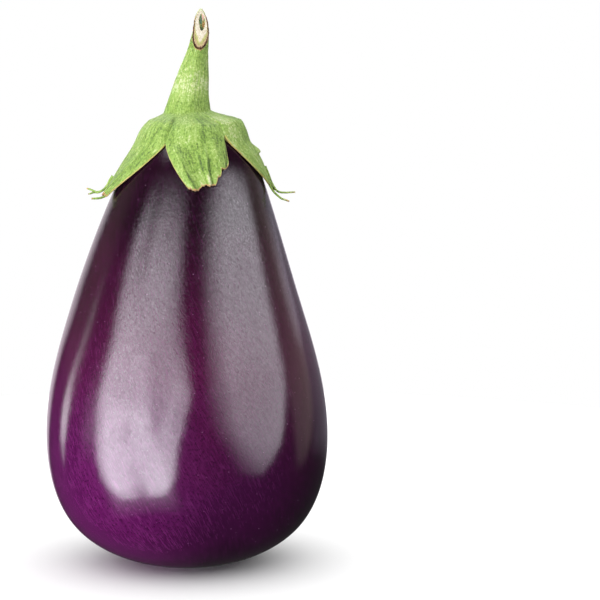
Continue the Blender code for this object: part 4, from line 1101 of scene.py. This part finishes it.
# A patch has rows of (elevation, left azimuth, right azimuth) in degrees, its brightness by elevation, and
# the softness in degrees of its left edge, its right edge and its ends. Where patches overlap the brighter
# shows. A dim patch takes away the share of light that its levels give.
softboxes = {
    "leftSoftbox": dict(tint="#faf6ff", patches=[
        # the whole front
        dict(soft=(5, 5, 3),
             rows=[(36, -46, -12), (33, -53, -8), (31, -64, -5), (29, -68, -9.5), (27, -72, -16.5),
                   (24, -72.5, -5), (20, -72.5, -1), (15, -76, 3), (12, -76.5, 3), (8, -78, -1),
                   (0, -77.5, -4.5), (-4, -76.5, -8), (-12, -75.5, -9.5), (-20, -73, -10),
                   (-25, -70, -13), (-29, -65, -16), (-32, -60, -22)],
             levels=[(35, 4.0), (28, 4.6), (24, 6.4), (18, 6.9), (9, 6.8), (3, 7.3), (0, 8.2), (-4, 9.5),
                     (-10, 11.0), (-30, 11.0)]),
        # its upper and lower diffusers, the lamp's own glow, and a fold of brighter cloth on the right
        dict(soft=(5, 6, 3), rows=[(36, -42, -16), (31, -48, -12), (27, -50, -22), (23, -55, -30)],
             levels=[(35, 4.6), (32, 5.8), (30, 7.1), (27, 8.2), (23, 7.9)]),
        dict(soft=(4, 4, 3), rows=[(23, -60, -44), (19.5, -68, -37), (15, -74, -35), (10, -76, -32.5),
                                   (4, -76, -30)],
             levels=[(22, 9.0), (18, 11.0), (13, 10.2), (8, 11.6)]),
        dict(soft=(5, 3.5, 2.5),
             rows=[(8, -70, -35), (5, -73, -31), (0, -72.5, -29.5), (-6, -70, -24), (-12, -71, -18),
                   (-20, -70, -14), (-26, -66, -17), (-30.5, -62, -22)],
             levels=[(7, 14.6), (0, 14.2), (-8, 14.8), (-20, 14.9), (-26, 13.2), (-30, 8.0)]),
        dict(soft=(5, 5, 3), rows=[(8, -66, -37), (5, -68, -34), (1.5, -66, -32)], levels=[(5, 15.6)]),
        dict(soft=(5, 6, 4), rows=[(3, -73, -62), (-10, -71, -58), (-20, -70, -53), (-28, -64, -48)],
             levels=[(0, 15.0), (-24, 15.2)]),
        dict(soft=(7, 4, 4), rows=[(-5, -36, -22), (-14, -38, -17), (-20, -38, -13), (-29, -33, -18)],
             levels=[(-10, 15.0), (-24, 15.4)]),
        dict(soft=(4, 4, 3), rows=[(18, -17, -9), (14, -18, -3), (8, -19, -11), (3, -24, -12),
                                   (-4, -24, -11)],
             levels=[(16, 8.4), (8, 9.0), (0, 10.6), (-4, 11.6)]),
        # a brighter fold along its upper left edge, and a faint glow beside it and under it
        dict(soft=(4, 4, 2), rows=[(31, -66, -59), (28.5, -69, -60), (26, -72, -63), (24.5, -72, -65)],
             levels=[(31, 7.0), (28, 8.4), (26, 8.0), (24.5, 5.5)]),
        dict(soft=(18, 8, 12), rows=[(12, -86, -76), (-4, -89, -76), (-10, -87, -76)],
             levels=[(12, 0.6), (-4, 1.5), (-9, 0.9)]),
        dict(soft=(20, 16, 6), rows=[(-20, -64, -18), (-44, -74, -6)],
             levels=[(-28, 4.4), (-31, 3.0), (-34, 1.9), (-38, 1.0), (-42, 0.5)])], dims=[
        # dimmer folds between them
        dict(soft=(3, 3, 3), rows=[(36, -54, -47), (31.5, -56.5, -48), (29, -60, -52), (26, -63, -56)],
             levels=[(35, 0.5), (31, 0.85), (29, 0.5), (26, 0.35)]),
        dict(soft=(4, 4, 4), rows=[(-8, -46, -41), (-20, -48, -37), (-34, -44, -35)],
             levels=[(-8, 0.1), (-22, 0.2), (-31, 0.5)]),
        dict(soft=(3, 3, 3), rows=[(4, -53, -50), (-1, -54, -48), (-6, -53, -50)],
             levels=[(0, 0.28), (-6, 0.2)]),
        dict(soft=(3, 3, 3), rows=[(21, -34, -30), (14, -31, -26), (2, -28.5, -25)],
             levels=[(20, 0.05), (12, 0.14), (4, 0.12)])]),
    "rightSoftbox": dict(tint="#fbf6ff", patches=[
        dict(soft=(34, 4, 3),
             rows=[(34, 31, 66), (30, 31, 79), (27, 32, 85), (24, 32, 93), (20, 32, 102), (16, 31, 98),
                   (12, 32, 96.5), (8, 34, 95), (4, 35, 92), (0, 38, 89.5), (-4, 43, 86), (-8, 47, 83),
                   (-12, 51, 77.5), (-16, 54, 72), (-19, 56, 68)],
             levels=[(33, 5.6), (28, 7.1), (22, 6.5), (12, 5.1), (4, 5.1), (-4, 4.9), (-8, 4.4),
                     (-12, 3.6), (-16, 2.4)])]),
    "sideStrip": dict(tint="#ffffff", patches=[
        dict(soft=(2, 2, 4),
             rows=[(14, -104.5, -100.5), (8, -110, -105), (4, -113.5, -107), (0, -116.5, -106.5),
                   (-4, -118, -108.5), (-8, -119.5, -110.5), (-12, -119.5, -114.5), (-15, -119, -117)],
             levels=[(12, 1.5), (8, 2.3), (4, 3.4), (0, 4.8), (-4, 5.2), (-8, 4.0), (-12, 2.0)])]),
    "backPanel": dict(tint="#c8bfc6", patches=[
        dict(soft=(2, 4, 4),
             rows=[(36, -188, -140), (6, -188, -140), (3, -188, -137), (0, -188, -146), (-8, -188, -148),
                   (-13, -188, -156), (-16, -188, -162)],
             levels=[(36, 1.6), (-16, 1.6)])]),
    "leftCard": dict(tint="#fff0c8", patches=[
        dict(soft=(8, 8, 6), rows=[(31, -131, -98), (2, -131, -98)], levels=[(0, 0.12), (20, 0.2)])]),
    "rightCard": dict(tint="#fff0dc", patches=[
        dict(soft=(8, 12, 6), rows=[(22, 100, 128), (10, 97, 136), (0, 98, 128), (-8, 100, 122),
                                    (-16, 103, 112)],
             levels=[(20, 0.25), (12, 0.42), (4, 0.62), (-4, 0.6), (-10, 0.5), (-16, 0.3)])]),
    "rightRim": dict(tint="#f4ecff", patches=[
        dict(soft=(10, 3, 6), rows=[(12, 128, 185), (-12, 124, 185)], levels=[(8, 0.34), (-8, 0.22)]),
        dict(soft=(6, 3, 5), rows=[(10, 160, 185), (-6, 168, 185)], levels=[(8, 0.8), (-4, 0.6)]),
        dict(soft=(2, 3, 1.5), rows=[(9.5, 123, 126), (8, 124.5, 130), (6.5, 128, 138), (5, 134, 148),
                                     (4, 142, 156)],
             levels=[(8, 1.5), (4, 1.3)])]),
}


# A square or rectangular lamp at a place, turned towards the fruit, with a radiance of 1 for brightness 1
def addLamp(name, place, width, height, brightness):
    data = bpy.data.lights.new(name, "AREA")
    data.shape = "RECTANGLE"
    data.size, data.size_y = width, height
    data.energy = brightness * math.pi * width * height
    lamp = linkObject(name, data)
    lamp.location = place
    lamp.rotation_euler = (Vector(place) - Vector(studio["aim"])).to_track_quat("Z", "Y").to_euler()
    lamp.visible_camera = False
    return lamp


def addSoftbox(name, box):
    rows = [row for patch in box["patches"] for row in patch["rows"]]
    reach = max(max(patch["soft"]) for patch in box["patches"])
    west, east = min(row[1] for row in rows) - reach, max(row[2] for row in rows) + reach
    low, high = min(row[0] for row in rows) - reach, max(row[0] for row in rows) + reach
    turn, rise = math.radians(west + east) / 2, math.radians(low + high) / 2
    halfTurn, halfRise = math.radians(east - west) / 2, math.radians(high - low) / 2
    direction = Vector((math.cos(rise) * math.sin(turn), -math.cos(rise) * math.cos(turn), math.sin(rise)))
    distance = studio["distance"]
    lamp = addLamp(name, Vector(studio["aim"]) + direction * distance, 2 * distance * math.tan(halfTurn),
                   2 * distance * math.tan(halfRise) / math.cos(halfTurn), 1.0)
    lamp.data.color = colour(box["tint"])[:3]
    lamp.data.use_nodes = True
    tree = lamp.data.node_tree

    # Direction of each place on the box in degrees. The curves read and give it as shares, which run from 0
    # to 1 over two turns sideways and over half a turn upwards.
    wide, tall = 720, 180
    place = addNode(tree, "NewGeometry", out="Position")
    way = addNode(tree, "VectorMath", [place, studio["aim"]], "SUBTRACT")
    way = addNode(tree, "VectorMath", [way], "NORMALIZE")
    x, y, z = addNode(tree, "SeparateXYZ", [way], out=None).outputs
    turned = addNode(tree, "Math", [x, addNode(tree, "Math", [y, -1.0], "MULTIPLY")], "ARCTAN2")
    risen = addNode(tree, "Math", [z], "ARCSINE")
    azimuth, elevation = (addNode(tree, "Math", [angle, math.degrees(1)], "MULTIPLY")
                          for angle in (turned, risen))
    if west < -180 or east > 180:       # azimuths past the back count on
        behind = addNode(tree, "Math", [azimuth, 0.0], "GREATER_THAN" if west < -180 else "LESS_THAN")
        azimuth = addNode(tree, "Math", [behind, -360.0 if west < -180 else 360.0, azimuth], "MULTIPLY_ADD")
    across = addNode(tree, "Math", [azimuth, 1 / wide, 0.5], "MULTIPLY_ADD")
    upward = addNode(tree, "Math", [elevation, 1 / tall, 0.5], "MULTIPLY_ADD")
    level = 0.0
    for group in ("patches", "dims"):
        isDim = group == "dims"
        scale = 1.0 if isDim else studio["brightest"]
        for shape in box.get(group, ()):
            edges = [addNode(tree, "FloatCurve", {1: upward}, stops=[
                (row[0] / tall + 0.5, row[side] / wide + 0.5) for row in shape["rows"]]) for side in (1, 2)]
            tops = [row[0] / tall + 0.5 for row in shape["rows"]]
            leftSoft, rightSoft, endSoft = shape["soft"]
            sides = [(edges[0], across, leftSoft / wide), (across, edges[1], rightSoft / wide),
                     (min(tops), upward, endSoft / tall), (upward, max(tops), endSoft / tall)]
            mask = 1.0
            for outer, inner, soft in sides:
                inside = addNode(tree, "Math", [inner, outer], "SUBTRACT")
                inside = addNode(tree, "MapRange", [inside, -soft / 2, soft / 2],
                                 interpolation_type="SMOOTHSTEP")
                mask = addNode(tree, "Math", [mask, inside], "MULTIPLY")
            tone = addNode(tree, "FloatCurve", {1: upward}, stops=[
                (height / tall + 0.5, value / scale) for height, value in shape["levels"]])
            part = addNode(tree, "Math", [tone, scale], "MULTIPLY")
            part = addNode(tree, "Math", [mask, part], "MULTIPLY")
            if isDim:
                part = addNode(tree, "Math", [1.0, part], "SUBTRACT")
            level = addNode(tree, "Math", [level, part], "MULTIPLY" if isDim else "MAXIMUM")

    # The cloth is a little uneven, about a mean of 1
    cloth = addNode(tree, "TexNoise", {"Vector": place, "Scale": 1 / studio["unevenSize"]})
    least = 1 - studio["unevenness"] / 2
    uneven = addNode(tree, "Math", [cloth, studio["unevenness"], least], "MULTIPLY_ADD")
    level = addNode(tree, "Math", [level, uneven], "MULTIPLY")
    tree.links.new(level, tree.nodes["Emission"].inputs["Strength"])
    return lamp


floorMesh = bpy.data.meshes.new("floor")
disc = bmesh.new()
bmesh.ops.create_circle(disc, cap_ends=True, segments=studio["floorSides"], radius=studio["floorRadius"])
disc.to_mesh(floorMesh)
disc.free()
floorMaterial = newMaterial("paleFloor", {
    "Roughness": 0.9, "Specular IOR Level": 0.1, "Base Color": colour(studio["floorColour"])})[0]
floor = linkObject("floor", floorMesh, floorMaterial)
floor.visible_glossy = floor.visible_shadow = floor.visible_diffuse = False

# The softboxes and the overhead lamp light the fruit, and a wide dome lamp lights the floor alone
fruitLamps = [addSoftbox(name, box) for name, box in softboxes.items()]
for name in ("overhead", "floorDome"):
    lamp = studio[name]
    made = addLamp(name, lamp["place"], lamp["side"], lamp["side"], lamp["brightness"])
    linking = bpy.data.collections.new(name + "Receivers")
    linking.objects.link(floor)
    linking.collection_objects[0].light_linking.link_state = "INCLUDE" if name == "floorDome" else "EXCLUDE"
    for lit in [made] if name == "floorDome" else [made, *fruitLamps]:
        lit.light_linking.receiver_collection = linking

world = bpy.data.worlds.new("studioWorld")
world.use_nodes = True
background = world.node_tree.nodes["Background"]
background.inputs["Color"].default_value = (1, 1, 1, 1)
rays = addNode(world.node_tree, "LightPath", out=None).outputs
strength = studio["ambient"]
for ray, seen in (("Is Glossy Ray", "mirrored"), ("Is Camera Ray", "cameraWhite")):
    strength = addNode(world.node_tree, "Mix", [rays[ray], None, strength, studio[seen]])
world.node_tree.links.new(strength, background.inputs["Strength"])
scene.world = world

view = {"tilt": 7.5, "lens": 152.04, "sensor": 36.0, "nearest": 0.01, "distance": 0.9, "aimHeight": 0.1,
        "right": 0.04014, "down": 0.00632}
camera = linkObject("camera", bpy.data.cameras.new("camera"))
camera.data.sensor_width = view["sensor"]
camera.data.lens = view["lens"]
camera.data.clip_start = view["nearest"]
tilt = math.radians(view["tilt"])
forward = Vector((0, math.cos(tilt), -math.sin(tilt)))
upward = Vector((0, math.sin(tilt), math.cos(tilt)))
aim = Vector((view["right"], 0, view["aimHeight"]))
camera.location = aim - forward * view["distance"] - upward * view["down"]
camera.rotation_euler = (math.radians(90) - tilt, 0, 0)
scene.camera = camera
scene.view_settings.view_transform = "Standard"
print("studio ready")
